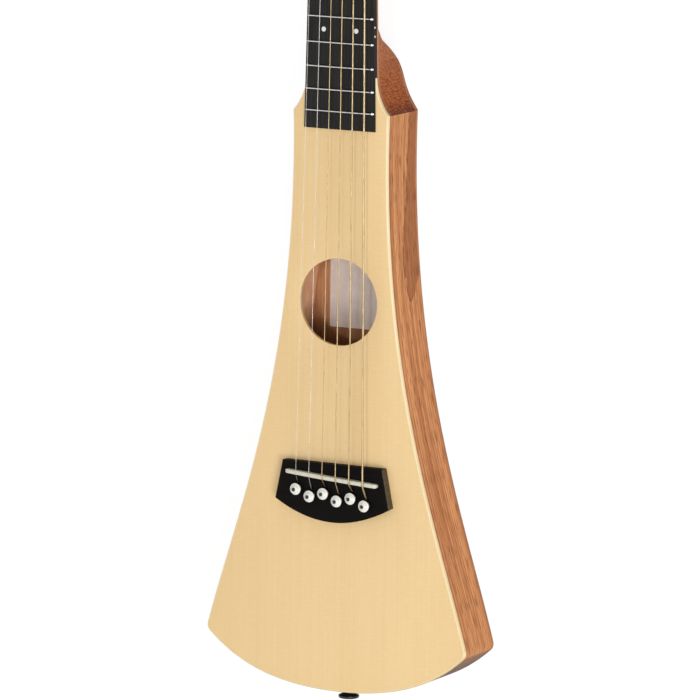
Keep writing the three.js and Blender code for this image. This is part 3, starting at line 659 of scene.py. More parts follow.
@dataclass(frozen=True)
class Figure:
    """A darker flame in a side, bounded by two lines: places along Y and levels, millimetres."""

    upper: tuple = ((121, 16), (127, 21.5), (135, 24), (165, 24), (188, 19.5), (222, 16),
                    (251, 12), (275, 6))
    lower: tuple = ((121, 16), (130, 9), (144, 0), (275, -6))
    tone: tuple = (160, 98, 60)
    rim_tone: tuple = (98, 54, 32)
    softness: float = 0.9
    wander: float = 2.6
    base: float = -10.0
    height: float = 50.0

    def masks(self, paint: Paint) -> tuple[Socket, Socket]:
        """How far a place lies inside the flame and on its dark rim.

        Args:
            paint: The material's nodes.

        Returns:
            Two sockets between 0 and 1, the flame's and the rim's.
        """
        spot = paint.add("ShaderNodeSeparateXYZ", {0: paint.place()}).outputs
        cloud = paint.noise(paint.place(), (40, 22, 9), 4.0)
        shift = paint.band(cloud, 0.3, 0.7, -self.wander * MM, self.wander * MM)
        level = paint.math("ADD", spot[2], shift)
        low, high = self.upper[0][0], self.upper[-1][0]
        share = paint.band(spot[1], low * MM, high * MM)
        edges = []
        for line in (self.upper, self.lower):
            curve = paint.add("ShaderNodeFloatCurve", {"Value": share})
            points = curve.mapping.curves[0].points
            knots = [((y - low) / (high - low), (z - self.base) / self.height) for y, z in line]
            points[0].location, points[-1].location = knots[0], knots[-1]
            for knot in knots[1:-1]:
                points.new(*knot)
            curve.mapping.update()
            raised = paint.times(curve.outputs[0], self.height * MM)
            edges.append(paint.math("ADD", raised, self.base * MM))
        above = paint.less(edges[0], level)
        below = paint.less(level, edges[1])
        inside = paint.math("MINIMUM", above, below)
        started = paint.math("GREATER_THAN", spot[1], low * MM)
        flame = paint.times(paint.band(inside, 0, self.softness * MM), started)
        off_edge = paint.math("ABSOLUTE", paint.less(inside, 0.5 * MM))
        rim = paint.band(off_edge, 0.4 * MM, 1.3 * MM, 1, 0)
        broken = paint.band(paint.noise(paint.place(), (30, 9, 4), 3.0, 3.0), 0.4, 0.6)
        near = paint.times(paint.times(rim, broken), started)
        return flame, near


@dataclass(frozen=True)
class SpeckledShade:
    """Painted shade in a crease or under a rim: darker along Y below a level and speckled like end
    grain; millimetres.
    """

    start: float = 246.0
    deepest: float = 257.0
    end: float = 350.0
    level: float = 41.0
    deep: tuple = (100, 38, 8)
    pale: tuple = (200, 112, 52)

    def over(self, paint: Paint, colour: Socket) -> Socket:
        """Lays the painted shade over a colour.

        Args:
            paint: The material's nodes.
            colour: What lies under the painted shade.

        Returns:
            The colour with the painted shade laid over it.
        """
        spot = paint.add("ShaderNodeSeparateXYZ", {0: paint.place()}).outputs
        begun = paint.band(spot[1], self.start * MM, self.deepest * MM)
        ended = paint.band(spot[1], self.deepest * MM, self.end * MM, 1.0, 0.0)
        low = paint.band(spot[2], (self.level - 3) * MM, self.level * MM, 1.0, 0.0)
        specks = paint.band(paint.noise(paint.place(), (1.0, 1.3, 2.2), 3.0, 31.0), 0.3, 0.7)
        foot = paint.band(spot[1], self.start * MM, (self.deepest + 8) * MM, 1.0, 0.0)
        specks = paint.math("ADD", specks, foot, clamp=True)
        tone = paint.tinted(specks, self.pale, self.deep)
        # Share of the painted shade: deepest at its darkest place, fading above the level and
        # towards both ends
        share = paint.times(begun, low)
        share = paint.times(share, paint.math("SQRT", ended))
        return paint.mix(share, colour, tone)


@dataclass(frozen=True)
class Wood:
    """A wood whose grain runs along Y, or along the flow of a bent piece."""

    name: str
    light: tuple
    dark: tuple
    end: tuple
    line_gap: float = 1.2
    line_share: float = 0.35
    pore: float = 0.0
    silk: float = 0.0
    roughness: float = 0.5
    bent: bool = False
    # Tone of painted shade on a bent side's faces along Y, the tail wall
    tail: tuple | None = None
    figure: Figure | None = None
    speckled_shade: SpeckledShade | None = None

    def material(self) -> Material:
        """The wood's material: growth lines, fibres, pores, cross silk and darker end grain, with
        painted shade on a bent side's tail and in a speckled band.

        Returns:
            The finished material.
        """
        paint = Paint(self.name)
        where = paint.place(self.bent)
        lines = paint.noise(where, (self.line_gap, 420, self.line_gap * 6), 3.0)
        fibres = paint.noise(where, (0.35, 26, 0.35), 2.0, 5.0)
        broad = paint.noise(where, (34, 240, 30), 2.0, 9.0)
        silk = paint.noise(where, (9, 1.1, 9), 2.0, 13.0)
        tone = paint.band(lines, 0.36, 0.64, -self.line_share, self.line_share)
        tone = paint.math("ADD", tone, paint.band(fibres, 0.3, 0.7, -0.16, 0.16))
        tone = paint.math("ADD", tone, paint.band(broad, 0.3, 0.7, -0.3, 0.3))
        tone = paint.math("ADD", tone, paint.band(silk, 0.42, 0.7, 0.0, self.silk))
        colour = paint.tinted(paint.math("ADD", tone, 0.5, clamp=True), self.dark, self.light)
        if self.figure:
            flame, rim = self.figure.masks(paint)
            colour = paint.over(colour, self.figure.tone, flame, 0.75)
            colour = paint.over(colour, self.figure.rim_tone, rim, 0.7)
        fine = self.line_gap * 0.55
        streaks = paint.noise(where, (fine, self.line_gap * 7, fine), 4.0, 21.0)
        pores = paint.band(streaks, 0.52, 0.66)
        colour = paint.over(colour, self.end, pores, self.pore)
        # Faces along Y take the darker end grain; on a bent side they take the tail tone instead,
        # painted shade on the tail wall
        low, high, most = (0.5, 0.85, 0.9) if self.bent else (0.1, 0.6, 0.85)
        across = paint.band(paint.math("ABSOLUTE", paint.lean((0, 1, 0))), low, high, 0.0, most)
        colour = paint.over(colour, self.tail or self.end, across)
        # The speckled band lays painted shade over the colour
        if self.speckled_shade:
            colour = self.speckled_shade.over(paint, colour)
        grit = paint.less(fibres, paint.times(pores, 0.6))
        paint.relief(grit, 0.05)
        rough = paint.band(fibres, 0.3, 0.7, self.roughness - 0.07, self.roughness + 0.07)
        dull = self.speckled_shade or self.tail
        return paint.done(colour, rough, Specular_IOR_Level=0.08 if dull else 0.22)


@dataclass(frozen=True)
class Laminate:
    """A black pressed laminate with faint lines along its length."""

    name: str
    dark: tuple
    light: tuple
    axis: int = 1
    roughness: float = 0.5
    sheen: float = 0.13

    def drawn_out(self, gap: float, length: float) -> tuple:
        """The size of a speck that is longer along the laminate's axis."""
        return tuple(length if axis == self.axis else gap for axis in range(3))

    def material(self) -> Material:
        """The laminate's material: lines, short flecks and a soft sheen.

        Returns:
            The finished material.
        """
        paint = Paint(self.name)
        where = paint.place()
        lines = paint.noise(where, self.drawn_out(0.55, 60), 3.0)
        short = paint.noise(where, self.drawn_out(0.3, 5), 2.0, 4.0)
        tone = paint.band(lines, 0.38, 0.68)
        tone = paint.math("ADD", tone, paint.band(short, 0.5, 0.75, 0, 0.5), clamp=True)
        paint.relief(short, 0.03)
        rough = paint.band(lines, 0.3, 0.7, self.roughness - 0.06, self.roughness + 0.08)
        colour = paint.tinted(tone, self.dark, self.light)
        return paint.done(colour, rough, Specular_IOR_Level=self.sheen)


@dataclass(frozen=True)
class Smooth:
    """Bone, plastic or paper: an even colour with faint mottling and fine scratches."""

    name: str
    tone: tuple
    mottle: float = 0.06
    speck: float = 3.0
    roughness: float = 0.4
    coat: float = 0.0
    relief: float = 0.01

    def material(self) -> Material:
        """The material, mottled by about the given share of its brightness.

        Returns:
            The finished material.
        """
        paint = Paint(self.name)
        where = paint.place()
        cloud = paint.noise(where, (self.speck,) * 3, 4.0)
        fine = paint.noise(where, (0.25, 0.25, 0.25), 2.0, 6.0)
        deep = tuple(v * (1 - self.mottle) for v in self.tone)
        pale = tuple(min(255, v * (1 + self.mottle / 2)) for v in self.tone)
        paint.relief(fine, self.relief)
        rough = paint.band(cloud, 0.3, 0.7, self.roughness - 0.05, self.roughness + 0.05)
        colour = paint.tinted(paint.band(cloud, 0.3, 0.7), deep, pale)
        return paint.done(colour, rough, Coat_Weight=self.coat)


@dataclass(frozen=True)
class Metal:
    """A metal with fine marks from drawing or polishing."""

    name: str
    tone: tuple
    tarnish: tuple
    roughness: float = 0.3
    marks: tuple = (0.4, 4.0, 0.4)
    # Tone of a painted dark reflection on the flanks that lean along flank_aim
    flank_reflection: tuple | None = None
    flank_aim: tuple = (0, 1, 0)
    flank_band: tuple = (0.1, 0.5)
    # Tone of a painted glint on faces that face +X
    tip: tuple | None = None
    tip_band: tuple = (0.12, 0.26)

    def material(self) -> Material:
        """The metal's material, a little duller where its marks run, with a painted dark reflection
        on its flanks and a painted glint on its ends.

        Returns:
            The finished material.
        """
        paint = Paint(self.name)
        where = paint.place()
        marks = paint.noise(where, self.marks, 3.0)
        cloud = paint.noise(where, (7, 7, 7), 2.0, 3.0)
        colour = paint.tinted(paint.band(cloud, 0.45, 0.75), self.tone, self.tarnish)
        # Painted dark reflection on the flanks
        if self.flank_reflection:
            lean = paint.lean(self.flank_aim)
            if self.flank_aim[1]:
                lean = paint.math("ABSOLUTE", lean)
            colour = paint.over(colour, self.flank_reflection, paint.band(lean, *self.flank_band))
        # Painted glint on the ends that face +X
        if self.tip:
            ended = paint.band(paint.lean((1, 0, 0)), *self.tip_band)
            colour = paint.over(colour, self.tip, ended)
        rough = paint.band(marks, 0.3, 0.7, self.roughness - 0.06, self.roughness + 0.1)
        paint.relief(marks, 0.004)
        return paint.done(colour, rough, Metallic=1.0)


class Finish(Enum):
    """Every finish of the guitar."""

    SPRUCE = Wood("spruce_top", (243, 211, 157), (235, 200, 145), (214, 170, 112),
                  1.15, 0.13, 0.0, 0.36, 0.45)
    # Lighter copy of the spruce for the soundboard's outer edge and its rounding: a painted
    # highlight where the edge catches the light
    SPRUCE_EDGE = Wood("spruce_edge", (253, 236, 196), (246, 222, 172), (212, 184, 132),
                       1.15, 0.2, roughness=0.45)
    BRACE = Wood("spruce_brace", (232, 204, 156), (214, 180, 126), (200, 160, 106),
                 1.4, 0.35, roughness=0.6)
    # Mahogany sides; the tail tone is painted shade on the tail wall that faces along Y
    SIDE = Wood("mahogany_side", (232, 164, 109), (180, 112, 68), (104, 50, 24),
                1.9, 0.46, 0.62, bent=True, tail=(66, 40, 28), figure=Figure())
    BACK = Wood("mahogany_back", (200, 142, 99), (172, 116, 78), (120, 66, 38), 1.6, 0.35, 0.45)
    INNER = Wood("mahogany_inner", (252, 204, 164), (230, 174, 134), (186, 126, 88),
                 1.6, 0.35, 0.3, roughness=0.65)
    # Neck; its speckled band at the heel is end grain with painted shade in the crease where the
    # scoop meets the body
    NECK = Wood("mahogany_neck", (206, 146, 108), (178, 116, 78), (138, 70, 32),
                1.2, 0.32, 0.5, speckled_shade=SpeckledShade())
    # Inside of the back; its speckled band below the sound hole is a painted shadow under the
    # hole's lower rim
    FLOOR = Wood("mahogany_floor", (210, 158, 118), (184, 128, 90), (140, 84, 52),
                 1.6, 0.35, 0.3, roughness=0.65,
                 speckled_shade=SpeckledShade(20.0, 60.0, 102.0, 60.0, (62, 32, 12), (96, 56, 30)))
    LINING = Wood("lining", (214, 178, 134), (196, 158, 112), (180, 138, 92),
                  1.5, 0.35, roughness=0.65)
    BOARD = Laminate("black_board", (18, 18, 19), (46, 44, 42))
    BRIDGE = Laminate("black_bridge", (8, 7, 6), (18, 15, 12), axis=0, sheen=0.05)
    BRIDGE_SIDE = Laminate("bridge_side", (66, 56, 42), (98, 87, 68))
    BONE = Smooth("bone", (218, 212, 192), 0.05, 4.0, 0.35, 0.2)
    PIN_WHITE = Smooth("pin_white", (240, 238, 230), 0.03, 2.0, 0.3, 0.3)
    DOT_WHITE = Smooth("dot_white", (236, 235, 230), 0.03, 2.0, 0.35)
    BLACK = Smooth("black_plastic", (15, 15, 15), 0.15, 3.0, 0.35)
    PAPER = Smooth("label_paper", (246, 234, 226), 0.04, 9.0, 0.85, relief=0.02)
    # Fret wire; its flanks along Y take a painted dark reflection of the board, and its ends facing
    # +X a painted white glint
    FRET = Metal("fret_wire", (200, 200, 200), (186, 185, 182), 0.28, (4.0, 0.4, 0.4),
                 (30, 29, 28), flank_band=(0.2, 0.5), tip=(255, 255, 255))
    STEEL = Metal("plain_string", (196, 190, 182), (182, 176, 168), 0.44)
    # Wound strings; the flanks that face the treble side take a painted dark reflection
    BRONZE = Metal("bronze_string", (186, 163, 124), (168, 147, 108), 0.42,
                   flank_reflection=(80, 64, 34), flank_aim=(-1, 0, 0), flank_band=(0.2, 0.6))
    CHROME = Metal("chrome", (216, 218, 220), (196, 198, 202), 0.14, (0.6, 0.6, 6.0))
    BRASS = Metal("brass_ball", (206, 164, 92), (170, 128, 66), 0.35)

    def __init__(self, *_: Value) -> None:
        """Starts with no material made yet."""
        self.made: Material | None = None

    @property
    def material(self) -> Material:
        """The finish's material, made on its first use."""
        if self.made is None:
            self.made = self.value.material()
        return self.made


# Geometry node trees


class Recipe(Wiring):
    """A geometry node tree with named inputs, made once and run on many carriers."""

    def __init__(self, name: str, sizes: dict[str, str]) -> None:
        """Starts the tree.

        Args:
            name: The tree's name.
            sizes: Socket types of its inputs by name; geometry and material are always there.
        """
        super().__init__(bpy.data.node_groups.new(name, "GeometryNodeTree"))
        kinds = {"Geometry": "NodeSocketGeometry", **sizes, "Material": "NodeSocketMaterial"}
        sockets = self.tree.interface
        for label, kind in kinds.items():
            sockets.new_socket(label, in_out="INPUT", socket_type=kind)
        sockets.new_socket("Geometry", in_out="OUTPUT", socket_type=kinds["Geometry"])
        self.inputs = self.tree.nodes.new("NodeGroupInput").outputs

    def close(self, geometry: Socket) -> "Recipe":
        """Ends the tree in real geometry with its material set.

        Args:
            geometry: What the tree has made.

        Returns:
            The finished tree.
        """
        real = self.add("GeometryNodeRealizeInstances", {0: geometry})
        inputs = {"Geometry": real.outputs[0], "Material": self.inputs["Material"]}
        dressed = self.add("GeometryNodeSetMaterial", inputs)
        end = self.tree.nodes.new("NodeGroupOutput")
        self.tree.links.new(dressed.outputs[0], end.inputs[0])
        return self

    def run(
        self, name: str, points: Line, edges: list, aims: Line | None = None, **values: Value
    ) -> Piece:
        """Runs the tree on a carrier of points and keeps the result.

        Args:
            name: The new piece's name.
            points: The carrier's points, millimetres.
            edges: The carrier's edges.
            aims: A direction for each point, which instances stand along.
            values: The tree's inputs by name, with underscores for spaces.

        Returns:
            The new piece as a plain mesh.
        """
        mesh = bpy.data.meshes.new(name)
        mesh.from_pydata((np.asarray(points) * MM).tolist(), edges, [])
        if aims is not None:
            attribute = mesh.attributes.new("aim", "FLOAT_VECTOR", "POINT")
            attribute.data.foreach_set("vector", np.ravel(aims))
        piece = linked(name, mesh)
        modifier = piece.modifiers.new("recipe", "NODES")
        modifier.node_group = self.tree
        for socket in self.tree.interface.items_tree:
            label = socket.name.replace(" ", "_")
            if socket.in_out == "INPUT" and label in values:
                modifier[socket.identifier] = values[label]
        applied(piece)
        piece.data.set_sharp_from_angle(angle=SHARP)
        return piece


def fret_recipe() -> Recipe:
    """The tree of one fret: a cambered bead with bevelled ends and its tang.

    Returns:
        The finished tree.
    """
    names = ("Fret Number", "Scale Length", "Nut Width", "Octave Width", "Board Top",
             "Camber Radius", "Fret Width", "Fret Height", "End Inset", "End Bevel", "Tang Depth")
    recipe = Recipe("fret", {name: "NodeSocketFloat" for name in names})
    size, m, times, less = recipe.inputs, recipe.math, recipe.times, recipe.less
    turns = 96
    octaves = m("DIVIDE", size["Fret Number"], -12.0)
    reach = times(size["Scale Length"], m("POWER", 2.0, octaves))
    spread = times(less(size["Octave Width"], size["Nut Width"]), 0.5)
    from_nut = less(size["Scale Length"], reach)
    towards = m("DIVIDE", from_nut, times(size["Scale Length"], 0.5))
    board = m("ADD", times(size["Nut Width"], 0.5), times(spread, towards))
    half = less(board, size["End Inset"])
    inputs = {"Vertices": 20, "Side Segments": turns, "Radius": 1.0, "Depth": 2.0}
    rod = recipe.add("GeometryNodeMeshCylinder", inputs, fill_type="TRIANGLE_FAN")
    position = recipe.add("GeometryNodeInputPosition").outputs[0]
    at = recipe.add("ShaderNodeSeparateXYZ", {0: position}).outputs
    ended = m("GREATER_THAN", m("ABSOLUTE", at[2]), 1 - 1 / turns)
    run = times(m("DIVIDE", at[2], 1 - 2 / turns), less(1.0, ended))
    run = m("ADD", run, times(m("SIGN", at[2]), ended))
    inner = less(half, times(size["End Bevel"], less(1.0, ended)))
    x = times(run, inner)
    camber = m("DIVIDE", times(x, x), times(size["Camber Radius"], 2.0))
    rise = times(m("MAXIMUM", at[1], 0.0), less(1.0, times(ended, 0.72)))
    z = m("ADD", less(size["Board Top"], camber), times(rise, size["Fret Height"]))
    taper = less(0.5, times(ended, 0.3))
    y = m("ADD", reach, times(at[0], times(size["Fret Width"], taper)))
    spot = recipe.add("ShaderNodeCombineXYZ", {0: x, 1: y, 2: z})
    inputs = {"Geometry": rod.outputs[0], "Position": spot.outputs[0]}
    bead = recipe.add("GeometryNodeSetPosition", inputs)
    tang_half = less(half, size["End Bevel"])
    tang_size = recipe.add("ShaderNodeCombineXYZ", {
        0: times(tang_half, 1.9), 1: times(size["Fret Width"], 0.22),
        2: size["Tang Depth"],
    })
    tang = recipe.add("GeometryNodeMeshCube", {"Size": tang_size.outputs[0]})
    lift = less(size["Board Top"], times(size["Tang Depth"], 0.5))
    down = m("DIVIDE", times(half, half), times(size["Camber Radius"], 2.0))
    seat = recipe.add("ShaderNodeCombineXYZ", {1: reach, 2: less(lift, down)})
    inputs = {"Geometry": tang.outputs[0], "Translation": seat.outputs[0]}
    placed = recipe.add("GeometryNodeTransform", inputs)
    whole = recipe.add("GeometryNodeJoinGeometry")
    recipe.tree.links.new(bead.outputs[0], whole.inputs[0])
    recipe.tree.links.new(placed.outputs[0], whole.inputs[0])
    smooth = recipe.add("GeometryNodeSetShadeSmooth", {0: whole.outputs[0], "Shade Smooth": True})
    return recipe.close(smooth.outputs[0])


def winding_recipe() -> Recipe:
    """The tree of one string: a cord along a line, with a rib for each turn of its wrap.

    Returns:
        The finished tree.
    """
    names = ("Diameter", "Wrap Pitch", "Wrap Depth")
    recipe = Recipe("winding", {name: "NodeSocketFloat" for name in names})
    size, m, times, less = recipe.inputs, recipe.math, recipe.times, recipe.less
    curve = recipe.add("GeometryNodeMeshToCurve", {0: size["Geometry"]})
    inputs = {"Curve": curve.outputs[0], "Length": times(size["Wrap Pitch"], 0.5)}
    turns = recipe.add("GeometryNodeResampleCurve", inputs, mode="LENGTH")
    parity = m("MODULO", recipe.add("GeometryNodeInputIndex").outputs[0], 2.0)
    widest = times(size["Diameter"], 0.5)
    radius = less(widest, times(parity, size["Wrap Depth"]))
    ring = recipe.add("GeometryNodeCurvePrimitiveCircle", {"Resolution": 8, "Radius": 1.0})
    cord = recipe.add("GeometryNodeCurveToMesh", {
        "Curve": turns.outputs[0], "Profile Curve": ring.outputs[0], "Scale": radius,
        "Fill Caps": True,
    })
    smooth = recipe.add("GeometryNodeSetShadeSmooth", {0: cord.outputs[0], "Shade Smooth": True})
    return recipe.close(smooth.outputs[0])


def scatter_recipe() -> Recipe:
    """The tree that stands one small part on each point, along the point's aim.

    Returns:
        The finished tree.
    """
    recipe = Recipe("scatter", {"Part": "NodeSocketObject"})
    part = recipe.add("GeometryNodeObjectInfo", {"Object": recipe.inputs["Part"]})
    aim = recipe.add("GeometryNodeInputNamedAttribute", {"Name": "aim"}, data_type="FLOAT_VECTOR")
    turned = recipe.add("FunctionNodeAlignRotationToVector", {"Vector": aim.outputs[0]}, axis="Z")
    dots = recipe.add("GeometryNodeMeshToPoints", {0: recipe.inputs["Geometry"]})
    set_out = recipe.add("GeometryNodeInstanceOnPoints", {
        "Points": dots.outputs[0], "Instance": part.outputs["Geometry"],
        "Rotation": turned.outputs[0],
    })
    return recipe.close(set_out.outputs[0])


def scattered(
    recipe: Recipe, name: str, part: Skin, points: Line, aims: Line, finish: Finish
) -> Piece:
    """Copies of one small part, each on its point.

    Args:
        recipe: The scatter tree.
        name: The new piece's name.
        part: The small part, standing along Z at the origin.
        points: Where the copies go.
        aims: Which way each one points.
        finish: Their finish.

    Returns:
        One piece with all the copies.
    """
    pattern = part.piece(f"{name}_pattern", [])
    piece = recipe.run(name, points, [], aims, Part=pattern, Material=finish.material)
    bpy.data.objects.remove(pattern)
    return piece


# Sub-assemblies


@dataclass(frozen=True)
class Plan:
    """Sizes that several sub-assemblies share, the same as the solids'."""

    scale_length: float = 609.6
    fret_count: int = 15
    board_past_fret: float = 12.7
    nut_width: float = 42.9
    octave_width: float = 54.2
    nut_thickness: float = 5.0
    camber_radius: float = 508.0
    depth: float = 45.0
    soundboard: float = 2.6
    back: float = 2.5
    side: float = 2.5
    board_rise: float = 2.4
    half_width: float = 105.1
    tail_reach: float = 159.7
    corner_reach: float = 123.5
    corner_trim: float = 4.0
    shoulder_past_board: float = 11.9
    shoulder_half: float = 38.0
    tip_length: float = 26.0
    heel_past_tip: float = 9.4
    heel_half: float = 21.4
    tail_round: float = 0.6
    waist: tuple = (0.858, 0.496)
    bout: tuple = (0.775, 0.2305)
    front_flare: tuple = ((0.42, 0.25), (0.04, 0.63))
    back_flare: tuple = ((0.22, 0.51), (0.46, 0.63))
    strings: tuple = (0.3, 0.41, 0.64, 0.81, 1.07, 1.37)
    slip: float = 0.3

    @property
    def neck_top(self) -> float:
        """Level of the neck's flat top."""
        return self.depth - self.soundboard

    @property
    def board_top(self) -> float:
        """Highest level of the fretboard."""
        return self.depth + self.board_rise

    @property
    def nut_end(self) -> float:
        """Where the nut ends and the headstock starts."""
        return self.scale_length + self.nut_thickness

    @property
    def board_end(self) -> float:
        """Where the fretboard ends on the soundboard."""
        return self.fret_reach(self.fret_count) - self.board_past_fret

    @property
    def shoulder_reach(self) -> float:
        """Where the body's shoulders are."""
        return self.board_end + self.shoulder_past_board

    @property
    def tip_reach(self) -> float:
        """Where the soundboard's tip ends."""
        return self.shoulder_reach + self.tip_length

    @property
    def heel_reach(self) -> float:
        """Where the back ends."""
        return self.tip_reach + self.heel_past_tip

    def fret_reach(self, fret: float) -> float:
        """Distance of a fret from the scale's end at the saddle."""
        return self.scale_length * 2 ** (-fret / 12)

    def board_half(self, y: float | Line) -> float | Line:
        """Half the fretboard's width at a place."""
        spread = (self.octave_width - self.nut_width) / 2
        return self.nut_width / 2 + spread * (self.scale_length - y) / (self.scale_length / 2)

    def board_surface(self, x: float | Line) -> float | Line:
        """Level of the cambered fretboard."""
        return self.board_top - x**2 / (2 * self.camber_radius)

    def tail_line(self, x: float | Line) -> float | Line:
        """Place of the body's tail.

        Args:
            x: Where across the body.

        Returns:
            Its place along Y.
        """
        share = x / self.half_width
        rise = self.tail_round * share**2 + (1 - self.tail_round) * share**4
        return (self.tail_reach - self.corner_reach) * rise - self.tail_reach

    def rim(self, steps: int = 66) -> Line:
        """Right half of the rim, from the shoulder round the corner to the middle of the tail.

        Args:
            steps: Steps of the side's curve.

        Returns:
            Its points.
        """
        length = self.shoulder_reach + self.corner_reach
        corner = np.array([self.half_width, -self.corner_reach])
        side = bezier([
            (self.shoulder_half, self.shoulder_reach),
            (self.shoulder_half * self.waist[0], self.shoulder_reach - length * self.waist[1]),
            (self.half_width * self.bout[0], length * self.bout[1] - self.corner_reach),
            corner,
        ], steps)
        across = self.half_width * (1 - np.arange(steps // 2 + 1) / (steps // 2))
        tail = np.column_stack([across, self.tail_line(across)])
        far = [line[np.linalg.norm(line - corner, axis=1) > self.corner_trim]
               for line in (side, tail)]
        ends = [corner + (p - corner) / np.linalg.norm(p - corner) * self.corner_trim
                for p in (far[0][-1], far[1][0])]
        return np.vstack([far[0], bezier([ends[0], corner, ends[1]], 8), far[1]])

    def flare(self, end_half: float, end_reach: float, shares: tuple, steps: int = 24) -> Line:
        """A scooped shoulder line.

        Args:
            end_half: Half width at its upper end.
            end_reach: Place of its upper end.
            shares: The curve's two inner handles, as shares of its width and length.
            steps: Number of its steps.

        Returns:
            Its points from the upper end down to the shoulder.
        """
        def spot(width: float, length: float) -> Pair:
            """A place from its shares of the line's width and length."""
            return (end_half + (self.shoulder_half - end_half) * width,
                    self.shoulder_reach + (end_reach - self.shoulder_reach) * length)
        return bezier([spot(1, 0), spot(*shares[0]), spot(*shares[1]), spot(0, 1)], steps)[::-1]

    @property
    def front_line(self) -> Line:
        """The soundboard's scooped shoulder, from its tip down."""
        return self.flare(self.board_half(self.tip_reach), self.tip_reach, self.front_flare)

    @property
    def back_line(self) -> Line:
        """The back's scooped shoulder, from the heel down."""
        return self.flare(self.heel_half, self.heel_reach, self.back_flare)


PLAN = Plan()


def keyhole(
    x: float, y: float, radius: float, half_way: float, way: float, sides: int = 28
) -> Line:
    """A pin's round hole with the string's way on its upper side.

    Args:
        x: The hole's middle.
        y: The hole's middle.
        radius: The hole's radius.
        half_way: Half the width of the string's way.
        way: How far the way reaches from the hole's middle.
        sides: Sides of the round part.

    Returns:
        A closed loop.
    """
    start = math.acos(half_way / radius)
    turns = np.linspace(math.pi - start, 2 * math.pi + start, sides)
    arc = np.column_stack([x + radius * np.cos(turns), y + radius * np.sin(turns)])
    return np.vstack([[x + half_way, y + way], [x - half_way, y + way], arc])


@dataclass
class Pins:
    """Bridge pins in two staggered rows, and their holes."""

    pitch: float = 11.0
    setback: float = 11.65
    stagger: float = 3.6
    head_radius: float = 4.2
    shank_radius: float = 2.3
    tip_radius: float = 1.9
    length: float = 15.0
    head_height: float = 3.4
    head_rise: float = 3.1
    dot_radius: float = 1.35
    saddle_reach: float = 4.25
    slant: float = math.radians(3.8)
    saddle_thickness: float = 3.0
    saddle_crown: float = 10.9
    bridge_top: float = 51.5

    def saddle_line(self, x: float) -> float:
        """Where the slanted saddle crosses a place on X."""
        return -self.saddle_reach - math.tan(self.slant) * x

    def places(self) -> list[Pair]:
        """The middle of each pin.

        Returns:
            X and Y of each pin.
        """
        shifts = [(i - 2.5) * self.pitch for i in range(len(PLAN.strings))]
        return [(x, self.saddle_line(x) - self.setback - (i % 2) * self.stagger)
                for i, x in enumerate(shifts)]

    def holes(self, way: float) -> list[Line]:
        """The pins' holes with each string's way.

        Args:
            way: How far the way reaches from the pin's middle.

        Returns:
            One loop for each pin.
        """
        radius, half_way = self.shank_radius + PLAN.slip, max(PLAN.strings) / 2 + PLAN.slip
        return [keyhole(x, y, radius, half_way, way) for x, y in self.places()]

    def short_way(self) -> float:
        """The way's reach in the plate and the soundboard."""
        return self.shank_radius + 2 * PLAN.slip + max(PLAN.strings)

    def ramp_way(self) -> float:
        """The way's reach in the bridge, where the string comes up beside the pin's head."""
        return self.head_radius + max(PLAN.strings) + 3 * PLAN.slip

    def build(self) -> None:
        """Makes the six pins, each a shank with a collar, two steps, a dome and a black dot."""
        low, foot, r = PLAN.slip - self.length, self.head_rise, self.head_radius
        top, shank, dot = foot + self.head_height, self.shank_radius, self.dot_radius
        profile = [
            (0, low), (self.tip_radius - 0.4, low), (self.tip_radius, low + 0.5),
            (shank, PLAN.slip), (shank, foot - 0.7), (shank + 0.6, foot - 0.15), (r - 0.7, foot),
            (r - 0.1, foot + 0.3), (r, foot + 0.6), (r - 0.1, foot + 0.85),
            (r - 0.75, foot + 1.15), (r - 0.95, foot + 1.3), (r - 1.0, foot + 1.6),
            (r - 1.15, foot + 1.85), (r - 1.65, foot + 2.1), (r - 1.8, foot + 2.3),
            (r - 2.2, foot + 2.85), (r - 2.6, top - 0.25), (dot + 0.05, top - 0.06),
            (dot, top - 0.1), (dot - 0.12, top), (0.5, top + 0.06), (0, top + 0.07),
        ]
        finishes = [0] * (len(profile) - 5) + [1] * 4
        for number, (x, y) in enumerate(self.places(), 1):
            skin = Skin()
            skin.lathe(profile, 40, finishes)
            pin = skin.piece(f"pin_{number}", [Finish.PIN_WHITE, Finish.BLACK],
                             Matrix.Translation((x, y, self.bridge_top)))
            settle(pin, "root", "white_plastic", f"bridge_pin_{number}")


